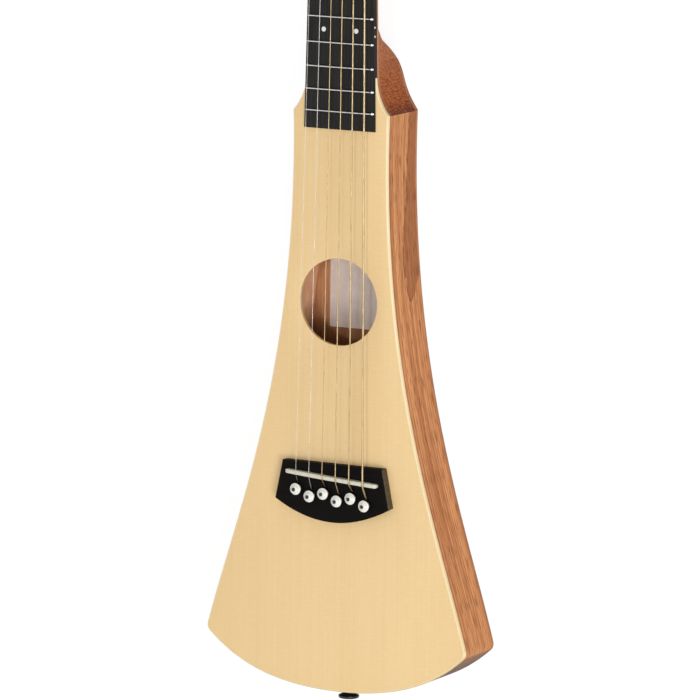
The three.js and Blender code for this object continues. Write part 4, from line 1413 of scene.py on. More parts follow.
@dataclass
class Body:
    """The hollow body: soundboard, back, sides, linings, label, and what is glued inside."""

    pins: Pins
    hole_radius: float = 30.9
    hole_reach: float = 120.8
    top_rounding: float = 1.1
    back_rounding: float = 0.6
    lining_pitch: float = 5.0
    lining_height: float = 12.0
    lining_width: float = 6.0
    lining_kerf: float = 1.0
    lining_ends: tuple = (40.0, 32.0)
    lining_corner: float = 9.0
    glue: float = 0.05
    label_corner: tuple = (-29.5, 95.9)
    label_size: tuple = (59.0, 49.8)
    label_rounding: float = 1.2

    def build(self) -> None:
        """Makes and dresses the whole body."""
        self.plates()
        self.sides()
        self.linings()
        self.label()
        inside = {"tail_block": Finish.BACK, "bridge_plate": Finish.BACK,
                  "brace_upper": Finish.BRACE, "brace_lower": Finish.BRACE}
        for node, finish in inside.items():
            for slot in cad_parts[node].material_slots:
                slot.material = finish.material

    def plates(self) -> None:
        """Makes the soundboard with its holes, and the back."""
        rim = PLAN.rim()
        front, rear = (both_halves(np.vstack([line[:-1], rim]))
                       for line in (PLAN.front_line, PLAN.back_line))
        hole = circle(0, self.hole_reach, self.hole_radius, 128)
        skin = Skin()
        skin.plate([front, hole, *self.pins.holes(self.pins.short_way())],
                   PLAN.neck_top, PLAN.depth, (CRISP, self.top_rounding), (0, 1, 0))
        # The outer edge and its rounding take the spruce edge finish, a painted highlight
        finishes = [Finish.SPRUCE, Finish.SPRUCE_EDGE]
        settle(skin.piece("top", finishes), "root", "spruce", "soundboard")
        skin = Skin()
        skin.plate([rear], 0, PLAN.back, (self.back_rounding, CRISP), (0, 0, 1))
        finishes = [Finish.BACK, Finish.FLOOR]
        settle(skin.piece("back", finishes), "root", "mahogany", "back_plate")

    def sides(self) -> None:
        """Makes the two bent sides, with the grain's flow round the bend."""
        rim = PLAN.rim(120)
        inner = rim + rightward(rim) * PLAN.side
        along = travelled(rim)
        middle = PLAN.slip / 6
        top_reach = PLAN.shoulder_reach - PLAN.slip
        levels = np.linspace(PLAN.back, PLAN.neck_top, 9)
        finishes = [Finish.SIDE, Finish.INNER]
        for sign, name, node in ((-1, "side_left", "side_treble"), (1, "side_right", "side_bass")):
            skin = Skin()
            walls = []
            for depth, line in ((0.0, rim), (PLAN.side, inner)):
                flat = np.column_stack([
                    sign * np.maximum(line[:, 0], middle), np.minimum(line[:, 1], top_reach),
                ])
                flow = np.column_stack([0 * along, along, np.full(len(along), depth)])
                walls.append([skin.ring(lifted(flat, z), flow + [z, 0, 0]) for z in levels])
            outer, within = walls
            for finish, wall in enumerate(walls):
                skin.stack(wall, finish, closed=False)
            for k in (0, -1):
                skin.strip(outer[k], within[k], closed=False)
            for k in (0, -1):
                skin.strip([ring[k] for ring in outer], [ring[k] for ring in within], closed=False)
            settle(skin.piece(name, finishes), "root", "mahogany", node)

    def linings(self) -> None:
        """Makes the kerfed strips in the corner between the sides and the soundboard."""
        rim = PLAN.rim(400)
        inwards = rightward(rim)
        line = rim + inwards * (PLAN.side + self.glue)
        along = travelled(line)
        past_block, short_of_tail = self.lining_ends
        stops = np.arange(past_block, along[-1] - short_of_tail, self.lining_pitch)
        corner = np.interp(-PLAN.corner_reach, -line[:, 1], along)
        stops = stops[np.abs(stops - corner) >= self.lining_corner]
        places = np.column_stack([np.interp(stops, along, line[:, k]) for k in (0, 1)])
        facing = np.column_stack([np.interp(stops, along, inwards[:, k]) for k in (0, 1)])
        half = (self.lining_pitch - self.lining_kerf) / 2
        level = PLAN.neck_top - self.glue
        wide, high = self.lining_width, self.lining_height
        section = [(0, 0), (wide, 0), (wide, 3.0), (1.2, high), (0, high)]
        skin = Skin()
        for sign in (-1, 1):
            for (x, y), (u, v) in zip(places, facing):
                skin.loft([
                    [(sign * (x + u * w - v * s), y + v * w + u * s, level - h) for w, h in section]
                    for s in (-half, half)
                ], flat=False)
        settle(skin.piece("linings", [Finish.LINING]), "root", "mahogany")

    def label(self) -> None:
        """Lays a bare paper label on the inside of the back, under the sound hole."""
        (left, low), (width, height) = self.label_corner, self.label_size
        right, high, r = left + width, low + height, self.label_rounding
        loop = np.vstack([
            bezier([(a, b), (c, d), (e, f)], 4) for a, b, c, d, e, f in (
                (left, low + r, left, low, left + r, low),
                (right - r, low, right, low, right, low + r),
                (right, high - r, right, high, right - r, high),
                (left + r, high, left, high, left, high - r),
            )
        ])
        skin = Skin()
        skin.plate([loop], PLAN.back + 0.02, PLAN.back + 0.22, (CRISP, 0.05))
        settle(skin.piece("label", [Finish.PAPER]), "root", "bone_white")


@dataclass
class Neck:
    """The one-piece neck: block, scooped heel, shaft and tilted headstock."""

    depth_at_heel: float = 15.1
    depth_at_nut: float = 13.6
    scoop_length: float = 24.2
    volute: float = 26.0
    block_length: float = 33.5
    heel_rise: tuple = ((0.83, 1.06), (0.54, 1.0))
    block_square: float = 40.0
    shaft_square: float = 1.92
    volute_square: float = 4.0
    head_length: float = 120.0
    head_half: float = 30.0
    head_thickness: float = 14.0
    head_tilt: float = math.radians(6)
    head_outline: tuple = ((0.04, 0.735), (0.08, 0.79), (0.12, 0.88), (0.16, 0.95), (0.2, 0.99),
                           (0.25, 1.0), (0.6, 0.955), (0.9, 0.915), (0.95, 0.9), (0.98, 0.86),
                           (1.0, 0.76))
    rays: tuple = (0, 9, 18, 27, 36, 41, 44, 45, 46, 49, 54, 63, 72, 81, 90)

    @property
    def head_frame(self) -> Matrix:
        """The headstock's own frame, with Z out of its face, in millimetres."""
        turn = Matrix.Rotation(-self.head_tilt, 4, "X")
        return Matrix.Translation((0, PLAN.nut_end, PLAN.neck_top)) @ turn

    def section(
        self, upper: float, lower: float, top: float, bottom: float, y: float, square: float
    ) -> Line:
        """One section of the neck, flat on top and rounder below the smaller its squareness is.

        Args:
            upper: Half width at its top.
            lower: Half width at its bottom.
            top: Level of its top.
            bottom: Level of its bottom.
            y: Where the section lies.
            square: Its squareness.

        Returns:
            The section's points, from the right round below to the left.
        """
        angle = np.radians(self.rays)
        reach = (np.cos(angle) ** square + np.sin(angle) ** square) ** (-1 / square)
        drop = reach * np.sin(angle)
        x = (upper + (lower - upper) * drop) * reach * np.cos(angle)
        x[-1] = 0.0
        right = np.column_stack([x, np.full(len(x), y), top + (bottom - top) * drop])
        return np.vstack([right, right[-2::-1] * [-1, 1, 1]])

    def stations(self) -> list[Line]:
        """Every section of the neck, from the block inside the body to the headstock's tip.

        Returns:
            The points of each section.
        """
        top, back = PLAN.neck_top, PLAN.back
        front, rear = PLAN.front_line[::-1], PLAN.back_line[::-1]
        block = PLAN.shoulder_half - PLAN.side - PLAN.slip
        rings = [self.section(block, block, top, back, y, self.block_square)
                 for y in (PLAN.shoulder_reach - self.block_length, PLAN.shoulder_reach)]
        for y in [*np.linspace(PLAN.shoulder_reach, PLAN.tip_reach, 30),
                  *np.linspace(PLAN.tip_reach, PLAN.heel_reach, 9)[1:]]:
            upper = PLAN.board_half(y)
            if y < PLAN.tip_reach:
                upper = np.interp(y, front[:, 1], front[:, 0])
            lower = np.interp(y, rear[:, 1], rear[:, 0])
            rings.append(self.section(upper, lower, top, back, y, self.block_square))
        start = PLAN.heel_reach + self.scoop_length
        floor = top - self.depth_at_heel
        handles = [(PLAN.heel_reach + self.scoop_length * a, floor * b) for a, b in self.heel_rise]
        scoop = bezier([(PLAN.heel_reach + PLAN.slip, 0), *handles, (start, floor)], 30)
        for y, bottom in scoop[:-1]:
            share = (y - PLAN.heel_reach) / self.scoop_length
            upper = PLAN.board_half(y)
            lower = PLAN.heel_half + (upper - PLAN.heel_half) * share
            square = self.block_square ** (1 - share) * self.shaft_square**share
            rings.append(self.section(upper, lower, top, bottom, y, square))
        turn_in = PLAN.nut_end - self.volute
        for y in [*np.linspace(start, turn_in, 20),
                  *np.linspace(turn_in, PLAN.scale_length, 9)[1:], PLAN.nut_end]:
            share = (y - start) / (PLAN.nut_end - start)
            eased = np.interp(y, [turn_in, PLAN.scale_length], [0, 1])
            square = self.shaft_square ** (1 - eased) * self.volute_square**eased
            half = PLAN.board_half(y) if y < PLAN.scale_length else PLAN.nut_width / 2
            bottom = top - (self.depth_at_heel + (self.depth_at_nut - self.depth_at_heel) * share)
            rings.append(self.section(half, half, top, bottom, y, square))
        for length, width in smooth_line(self.head_outline, 5):
            settled = min(1.0, (length - 0.04) / 0.12 * 0.75 + 0.25)
            square = self.volute_square ** (1 - settled) * self.block_square**settled
            half, y = self.head_half * width, self.head_length * length
            ring = self.section(half, half, 0, -self.head_thickness, y, square)
            rings.append(seated(ring, self.head_frame))
        return rings

    def build(self, posts: list[Pair], hole_radius: float) -> None:
        """Makes the neck and bores the holes for the tuning machines' posts.

        Args:
            posts: Where the posts stand, in the headstock's frame.
            hole_radius: Radius of their holes.
        """
        skin = Skin()
        skin.loft(self.stations())
        wood = skin.piece("neck_wood", [Finish.NECK])
        tools = []
        for x, y in posts:
            tool = Skin()
            tool.lathe([(0, -20), (hole_radius, -20), (hole_radius, 5), (0, 5)], 36)
            tools.append(tool.piece("bore", [], self.head_frame @ Matrix.Translation((x, y, 0))))
        settle(carved(wood, tools), "root", "mahogany", "neck")


@dataclass
class Fretboard:
    """The cambered board, its frets, its dots and the nut."""

    scatter: Recipe
    fret_width: float = 2.0
    fret_height: float = 1.0
    end_inset: float = 0.4
    end_bevel: float = 1.6
    tang_depth: float = 0.9
    slot_half: float = 0.4
    gap: float = 0.1
    edge: float = 0.35
    face_dots: tuple = ((3, 0.0), (5, 0.0), (7, 0.0), (9, 0.0), (12, -12.9), (12, 12.9))
    side_dots: tuple = ((3, 0.0), (5, 0.0), (7, 0.0), (9, 0.0), (12, -3.15), (12, 3.15))
    face_dot_radius: float = 1.75
    side_dot_radius: float = 0.85
    face_dot_depth: float = 0.5
    dot_height: float = 0.52
    edge_lean: float = 0.0185

    def section(self, y: float, bottom: float, drop: float) -> Line:
        """One section of the board.

        Args:
            y: Where the section lies.
            bottom: Level of its flat underside.
            drop: How far its upper edge is rounded away at the board's end.

        Returns:
            The section's points.
        """
        half = PLAN.board_half(y)
        across = np.linspace(half - self.edge, self.edge - half, 25)
        upper = [(x, y, PLAN.board_surface(x) - drop) for x in across]
        shoulder = PLAN.board_surface(half) - self.edge - drop
        bend = [(half - self.edge * 0.3, y, shoulder + self.edge * 0.7), (half, y, shoulder)]
        left = [(-x, y, z) for x, y, z in bend]
        return np.array([(-half, y, bottom), (half, y, bottom), bend[1], bend[0], *upper, *left])

    def build(self) -> None:
        """Makes the board with its slots, then what is set into it."""
        end, step = PLAN.board_end, PLAN.tip_reach + self.gap
        stops = [(end, PLAN.depth, 0.45), (end + 0.12, PLAN.depth, 0.12),
                 (end + 0.45, PLAN.depth, 0.0), (step, PLAN.depth, 0.0),
                 (step, PLAN.neck_top, 0.0), (PLAN.scale_length, PLAN.neck_top, 0.0)]
        skin = Skin()
        skin.loft([self.section(*stop) for stop in stops])
        board = skin.piece("board", [Finish.BOARD])
        tools = []
        for fret in range(1, PLAN.fret_count + 1):
            y = PLAN.fret_reach(fret)
            half = PLAN.board_half(y) - self.end_inset - self.end_bevel + PLAN.slip
            low = PLAN.board_surface(half) - self.tang_depth - PLAN.slip
            tool = Skin()
            slot = oblong(half, self.slot_half, y)
            tool.plate([slot], low, PLAN.board_top + 1, (CRISP, CRISP), steps=1)
            tools.append(tool.piece("slot", []))
        settle(carved(board, tools), "root", "black_laminate", "fretboard")
        self.frets()
        self.dots()
        nut = softened_copy("nut", "nut_bar", Finish.BONE, 0.22)
        settle(nut, "root", "bone_white", "nut")

    def frets(self) -> None:
        """Makes each fret by the fret recipe."""
        recipe = fret_recipe()
        sizes = {
            "Scale_Length": PLAN.scale_length, "Nut_Width": PLAN.nut_width,
            "Octave_Width": PLAN.octave_width, "Board_Top": PLAN.board_top + self.gap,
            "Camber_Radius": PLAN.camber_radius, "Fret_Width": self.fret_width,
            "Fret_Height": self.fret_height, "End_Inset": self.end_inset,
            "End_Bevel": self.end_bevel, "Tang_Depth": self.tang_depth,
        }
        metres = {name: size * MM for name, size in sizes.items()}
        for fret in range(1, PLAN.fret_count + 1):
            wire = recipe.run(f"wire_{fret:02d}", [(0, 0, 0)], [], Fret_Number=float(fret),
                              Material=Finish.FRET.material, **metres)
            settle(wire, "root", "fret_wire", f"fret_{fret:02d}")

    def dots(self) -> None:
        """Sets the white dots between the frets, on the face and on the bass side."""
        def between(fret: float) -> float:
            """Middle of the space below a fret."""
            return (PLAN.fret_reach(fret) + PLAN.fret_reach(fret - 1)) / 2
        high = self.dot_height
        face, side = [], []
        for fret, x in self.face_dots:
            spot = (x, between(fret), PLAN.board_surface(x) - self.face_dot_depth)
            face.append((spot, (x / PLAN.camber_radius, 0, 1)))
        for fret, shift in self.side_dots:
            y = between(fret) + shift
            spot = (PLAN.board_half(y) - high, y, PLAN.depth + 0.4)
            side.append((spot, (1, self.edge_lean, 0)))
        for name, r, rows in (("face_dots", self.face_dot_radius, face),
                              ("side_dots", self.side_dot_radius, side)):
            stud = Skin()
            stud.lathe([(0, 0), (r, 0), (r, high), (r - 0.1, high + 0.04), (0, high + 0.06)], 32)
            points, aims = (np.array(part) for part in zip(*rows))
            dots = scattered(self.scatter, name, stud, points, aims, Finish.DOT_WHITE)
            settle(dots, "root", "white_plastic")


@dataclass
class Bridge:
    """The chamfered bridge and its slanted saddle."""

    pins: Pins
    front_reach: float = 5.5
    front_half: float = 40.3
    wing_half: float = 46.0
    wing_reach: float = 22.5
    back_reach: float = 36.3
    chamfer: float = 0.5
    seat_depth: float = 4.0
    saddle_length: float = 74.0
    end_round: float = 2.2
    end_drop: float = 1.2
    crest_round: float = 0.9
    seat_gap: float = 0.3

    def outline(self, shrink: float) -> Line:
        """The bridge's outline, made smaller by a chamfer.

        Args:
            shrink: How much smaller all round.

        Returns:
            Its loop, anticlockwise.
        """
        share = 1 - np.arange(41) / 40
        wing, back = self.wing_half - shrink, self.back_reach - shrink
        curve = np.column_stack([wing * share, (back - self.wing_reach) * share**2 - back])
        front = np.array([[self.front_half - shrink, self.front_reach - shrink]])
        return turning(both_halves(np.vstack([front, curve])), True)

    def bar(self, length: float, thickness: float) -> Line:
        """A bar with round ends along X, symmetric about it.

        Args:
            length: Its whole length.
            thickness: Its thickness.

        Returns:
            Its loop, starting at the right end's middle.
        """
        straight, radius = (length - thickness) / 2, thickness / 2
        bend = np.radians(np.linspace(0, 90, 7))
        right = np.column_stack([straight + radius * np.cos(bend), radius * np.sin(bend)])
        along = np.linspace(straight, -straight, 25)[1:-1]
        level = np.column_stack([along, np.full(len(along), radius)])
        upper = np.vstack([right, level, right[::-1] * [-1, 1]])
        return np.vstack([upper, upper[-2:0:-1] * [1, -1]])

    def on_line(self, loop: Line) -> Line:
        """A plane loop turned and moved onto the saddle's slanted line.

        Args:
            loop: The loop along X.

        Returns:
            The moved loop.
        """
        c, s = math.cos(self.pins.slant), math.sin(self.pins.slant)
        x, y = loop.T
        return np.column_stack([x * c + y * s, y * c - x * s - self.pins.saddle_reach])

    def saddle_bar(self, shrink: float) -> Line:
        """The saddle's loop on its slanted line, made smaller all round."""
        thickness = self.pins.saddle_thickness - 2 * shrink
        return self.on_line(self.bar(self.saddle_length - 2 * shrink, thickness))

    def build(self) -> None:
        """Makes the bridge, the saddle and the pins."""
        top = self.pins.bridge_top
        skin = Skin()
        wide, near = self.chamfer, 0.12
        levels = [(0.15, PLAN.depth), (0.0, PLAN.depth + 0.15), (0.0, top - wide - near),
                  (near, top - wide + near), (wide - near, top - near), (wide + near, top)]
        outer = [skin.ring(lifted(self.outline(shrink), z)) for shrink, z in levels]
        for first, second in zip(outer, outer[1:]):
            for i, j in enumerate([*range(1, len(first)), 0]):
                start, end = (np.array(skin.points[first[k]]) for k in (i, j))
                at_end = abs(end[1] - start[1]) > abs(end[0] - start[0])
                skin.face([first[i], first[j], second[j], second[i]], int(at_end))
        lids = ([outer[0]], [outer[-1]])
        for hole in self.pins.holes(self.pins.ramp_way()):
            hole = turning(hole, False)
            rows = [skin.ring(lifted(offset_loop(hole, move), z))
                    for move, z in ((0, PLAN.depth), (0, top - 0.25), (0.25, top))]
            skin.stack(rows)
            lids[0].append(rows[0])
            lids[1].append(rows[-1])
        slot = self.saddle_bar(-self.seat_gap)
        mouth, floor = (skin.ring(lifted(slot, z)) for z in (top, top - self.seat_depth))
        skin.strip(mouth, floor)
        lids[1].append(mouth)
        skin.lid(lids[0])
        skin.lid(lids[1])
        skin.lid([floor])
        finishes = [Finish.BRIDGE, Finish.BRIDGE_SIDE]
        settle(skin.piece("bridge_block", finishes), "root", "black_laminate", "bridge")
        self.saddle()
        self.pins.build()

    def saddle(self) -> None:
        """Makes the saddle, crowned along its length and rounded across and at its ends."""
        x = self.bar(self.saddle_length, self.pins.saddle_thickness)[:, 0]
        crown = PLAN.depth + self.pins.saddle_crown - x**2 / (2 * PLAN.camber_radius)
        straight = self.saddle_length / 2 - self.end_round
        past = np.maximum(np.abs(x) - straight, 0) / self.end_round
        crown = crown - self.end_drop * (1 - np.sqrt(1 - np.minimum(past, 1) ** 2))
        skin = Skin()
        foot = self.pins.bridge_top - self.seat_depth + self.seat_gap
        rows = [skin.ring(lifted(self.saddle_bar(0), foot))]
        for turn in np.radians([0, 20, 40, 60, 75]):
            shrink = self.crest_round * (1 - math.cos(turn))
            height = crown - self.crest_round * (1 - math.sin(turn))
            rows.append(skin.ring(lifted(self.saddle_bar(shrink), height)))
        skin.stack(rows)
        for ring, flat in ((rows[0], True), (rows[-1], False)):
            count = len(ring)
            for k in range(count // 2):
                corners = [ring[k], ring[k + 1], ring[count - k - 1], ring[(count - k) % count]]
                skin.face(list(dict.fromkeys(corners)), flat=flat)
        settle(skin.piece("saddle_bar", [Finish.BONE]), "root", "bone_white", "saddle")


class Side(Enum):
    """The headstock's two sides, by the sign of X."""

    TREBLE = -1
    BASS = 1


@dataclass
class Tuners:
    """Six tuning machines, each a case, a post with its gear, a knob, and what holds them."""

    neck: Neck
    scatter: Recipe
    first_reach: float = 31.0
    pitch: float = 32.0
    half_spacing: float = 18.5
    post_radius: float = 3.0
    post_rise: float = 12.0
    waist_radius: float = 2.6
    winding_height: float = 7.5
    winding_count: float = 2.5
    winding_gap: float = 0.5
    gear_radius: float = 5.0
    gear_root: float = 4.2
    gear_teeth: int = 14
    gear_thickness: float = 3.6
    gear_top: float = -16.5
    worm_offset: float = 7.7
    worm_radius: float = 2.4
    worm_half: float = 5.0
    worm_turns: int = 6
    worm_pitch: float = 1.55
    floor: float = -22.3
    wall: float = 1.3
    shaft_radius: float = 2.0
    knob_start: float = 16.5
    knob_length: float = 13.0
    knob_half_width: float = 8.0
    knob_half_thickness: float = 3.2
    knob_shares: tuple = ((0, 0.36), (0.06, 0.5), (0.3, 0.86), (0.62, 1), (0.88, 0.9), (1, 0.62))
    bush_radius: float = 5.2
    hole_radius: float = 1.0

    def place(self, string: int) -> tuple[Side, float, float]:
        """Side and place of a string's post in the headstock's frame.

        Args:
            string: The string's number, from zero.

        Returns:
            The side, X and Y.
        """
        side = Side.BASS if string >= 3 else Side.TREBLE
        rank = 5 - string if side is Side.BASS else string
        return side, side.value * self.half_spacing, self.first_reach + rank * self.pitch

    def posts(self) -> list[Pair]:
        """Where all the posts stand."""
        return [self.place(string)[1:] for string in range(6)]

    def build(self) -> None:
        """Makes all six machines and their screws."""
        screws = []
        for string in range(6):
            side, x, y = self.place(string)
            number = string + 1
            here = self.neck.head_frame @ Matrix.Translation((x, y, 0))
            housing = f"tuner_{number}_housing"
            case = softened_copy(housing, f"case_{number}", Finish.CHROME, 0.5)
            settle(case, "root", "chrome", housing)
            self.post(number, here)
            self.knob(number, side, x, y)
            self.bushing(number, here)
            screws.append(here @ Vector((-side.value * 3.6, 4.0, self.floor)))
        self.screws(screws)

    def post(self, number: int, here: Matrix) -> None:
        """Makes a post with its gear and string hole.

        Args:
            number: The string's number.
            here: The post's frame.
        """
        foot = self.floor + self.wall + PLAN.slip
        thickest = max(PLAN.strings)
        waist_top = self.winding_height + thickest
        r, w, g, top = self.post_radius, self.waist_radius, self.winding_gap, self.post_rise
        waist_low = waist_top - self.winding_count * (thickest + g) - g
        skin = Skin()
        skin.lathe([
            (0, foot), (r - 0.3, foot), (r, foot + 0.3), (r, waist_low - g),
            (w + 0.1, waist_low), (w, waist_low + 0.3), (w, waist_top - 0.3),
            (w + 0.1, waist_top), (r, waist_top + g), (r, top - g), (r - 0.15, top - 0.2),
            (r - g, top), (0, top + 0.05),
        ], 36)
        root, rim = self.gear_root, self.gear_radius
        teeth = []
        for tooth in range(self.gear_teeth):
            for radius, share in ((root, 0.0), (root, 0.22), (rim, 0.4), (rim, 0.62), (root, 0.8)):
                angle = 2 * math.pi * (tooth + share) / self.gear_teeth
                teeth.append((radius * math.cos(angle), radius * math.sin(angle)))
        gear_low = self.gear_top - self.gear_thickness
        skin.plate([np.array(teeth)], gear_low, self.gear_top, (0.15, 0.15), steps=1)
        post = skin.piece(f"post_{number}_pin", [Finish.CHROME], here)
        tool = Skin()
        tool.lathe([(0, -9), (self.hole_radius, -9), (self.hole_radius, 9), (0, 9)], 20)
        across = here @ Matrix.Translation((0, 0, waist_top)) @ Matrix.Rotation(math.pi / 2, 4, "Y")
        bored = carved(post, [tool.piece("bore", [], across)])
        settle(bored, f"post_{number}", "chrome", f"tuner_{number}_post")

    def knob(self, number: int, side: Side, x: float, y: float) -> None:
        """Makes a knob in one piece with its shaft and worm.

        Args:
            number: The string's number.
            side: The headstock's side.
            x: The post's place.
            y: The post's place.
        """
        worm, shaft, start = self.worm_radius, self.shaft_radius, self.knob_start
        turned = [(-self.worm_half, worm - 0.3)]
        for turn in range(self.worm_turns):
            crest = 0.3 - self.worm_half + turn * self.worm_pitch
            turned += [(crest, worm), (crest + 0.7, worm), (crest + 0.95, shaft - 0.1),
                       (crest + 1.3, shaft - 0.1)]
        turned += [(self.worm_half, shaft), (start - 1.6, shaft), (start - 1.3, shaft + 0.6),
                   (start - 0.5, shaft + 0.6), (start - 0.2, shaft)]
        stops = [(run, radius, radius) for run, radius in turned]
        wide, thick = self.knob_half_width, self.knob_half_thickness
        for length, width in smooth_line(self.knob_shares, 6):
            run = start + self.knob_length * length
            stops.append((run, wide * width, thick * math.sqrt(width)))
        stops.append((start + self.knob_length + 0.25, wide * 0.5, thick * 0.6))
        angles = np.arange(40) * math.pi / 20
        skin = Skin()
        skin.loft([
            [(side.value * run, a * math.cos(t), b * math.sin(t)) for t in angles]
            for run, a, b in stops
        ], flat=False)
        middle = self.gear_top - self.gear_thickness / 2
        here = self.neck.head_frame @ Matrix.Translation((x, y - self.worm_offset, middle))
        knob = skin.piece(f"knob_{number}_button", [Finish.CHROME], here)
        settle(knob, f"knob_{number}", "chrome", f"tuner_{number}_knob")

    def bushing(self, number: int, here: Matrix) -> None:
        """Makes the washer and the hexagonal bushing round a post on the headstock's face.

        Args:
            number: The string's number.
            here: The post's frame.
        """
        bore = circle(0, 0, self.post_radius + 0.15, 36)
        washer = circle(0, 0, self.bush_radius + 0.9, 40)
        hexagon = circle(0, 0, self.bush_radius, 6)
        skin = Skin()
        skin.plate([washer, bore], 0.02, 0.62, (0.1, 0.2))
        skin.plate([hexagon, bore], 0.62, 2.4, (0.05, 0.35))
        settle(skin.piece(f"bushing_{number}", [Finish.CHROME], here), "root", "chrome")

    def screws(self, places: list[Vector]) -> None:
        """Sets one round-head screw into the underside of each case.

        Args:
            places: Where the screws go.
        """
        screw = Skin()
        screw.lathe([(0, -0.4), (1.5, -0.4), (1.5, 0.1), (1.2, 0.45), (0.7, 0.6), (0, 0.62)], 24)
        down = np.array(self.neck.head_frame)[:3, :3] @ np.array([0, 0, -1])
        points, aims = np.array([list(p) for p in places]), np.tile(down, (len(places), 1))
        piece = scattered(self.scatter, "case_screws", screw, points, aims, Finish.CHROME)
        settle(piece, "root", "chrome")


@dataclass
class Strings:
    """Six strings, each whole from its ball to its turns round the post."""

    pins: Pins
    tuners: Tuners
    pitch_at_saddle: float = 10.8
    pitch_at_nut: float = 7.25
    height_at_nut: float = 1.7
    nut_back_drop: float = 1.2
    ball_radius: float = 2.1
    plate: float = 2.5
    plain_count: int = 2
    gap: float = 0.1
    turn_steps: int = 24

    def route(self, string: int) -> Line:
        """A string's line, in millimetres.

        Args:
            string: The string's number, from zero.

        Returns:
            Its points from the ball to the end of its turns.
        """
        diameter = PLAN.strings[string]
        radius, slip, pins = diameter / 2, PLAN.slip, self.pins
        x, y = pins.places()[string]
        plate_low = PLAN.neck_top - self.plate
        drop = y + pins.shank_radius + slip + max(PLAN.strings) / 2
        leave = y + pins.head_radius + slip + radius
        rank = string - 2.5
        at_saddle, at_nut = rank * self.pitch_at_saddle, rank * self.pitch_at_nut
        line = pins.saddle_line(at_saddle)
        crown = PLAN.depth + pins.saddle_crown - at_saddle**2 / (2 * PLAN.camber_radius)
        crest = crown + self.gap + slip + radius
        level = PLAN.board_top + self.height_at_nut
        half = pins.saddle_thickness / 2
        knots = [
            (x, y + pins.tip_radius + slip + self.ball_radius, plate_low - slip - self.ball_radius),
            (x, drop, plate_low), (x, drop, PLAN.depth),
            (x, (drop + leave) / 2, (PLAN.depth + pins.bridge_top) / 2),
            (x, leave, pins.bridge_top), (at_saddle, line - half, crest - self.gap - slip / 2),
            (at_saddle, line, crest), (at_saddle, line + half, crest - self.gap / 2),
            (at_nut, PLAN.scale_length, level),
            (at_nut, PLAN.nut_end, level - self.nut_back_drop / 2),
        ]
        side, px, py = self.tuners.place(string)
        turn_radius = self.tuners.post_radius + slip + radius
        steps = np.arange(int(self.tuners.winding_count * self.turn_steps) + 1) / self.turn_steps
        turns = np.column_stack([
            px - side.value * turn_radius * np.cos(2 * math.pi * steps),
            py + turn_radius * np.sin(2 * math.pi * steps),
            self.tuners.winding_height - steps * (diameter + self.tuners.winding_gap),
        ])
        turns = seated(turns, self.tuners.neck.head_frame)
        return np.vstack([softened(np.vstack([knots, turns[:1]]), 1.0), turns[1:]])

    def build(self) -> None:
        """Makes the six strings and their balls."""
        recipe = winding_recipe()
        lower = [(0.45, -0.8), (0.8, -0.85), (0.95, -0.6), (0.78, -0.15)]
        shares = [*lower, *((x, -z) for x, z in lower[::-1]), lower[0]]
        profile = [(self.ball_radius * x, self.ball_radius * z) for x, z in shares]
        for string, diameter in enumerate(PLAN.strings):
            wound = string >= self.plain_count
            points = self.route(string)
            edges = [(k, k + 1) for k in range(len(points) - 1)]
            pitch = 0.1 + 0.3 * diameter if wound else 1.2
            depth = 0.03 * diameter if wound else 0.0
            finish = Finish.BRONZE if wound else Finish.STEEL
            slot = "bronze_winding" if wound else "plain_steel"
            cord = recipe.run(
                f"wire_string_{string + 1}", points, edges, Diameter=diameter * MM,
                Wrap_Pitch=pitch * MM, Wrap_Depth=depth * MM, Material=finish.material,
            )
            settle(cord, "root", slot, f"string_{string + 1}")
            skin = Skin()
            skin.lathe(profile, 28)
            here = Matrix.Translation(Vector(points[0])) @ Matrix.Rotation(math.pi / 2, 4, "Y")
            ball = skin.piece(f"ball_{string + 1}", [Finish.BRASS], here)
            settle(ball, "root", "bronze_winding")


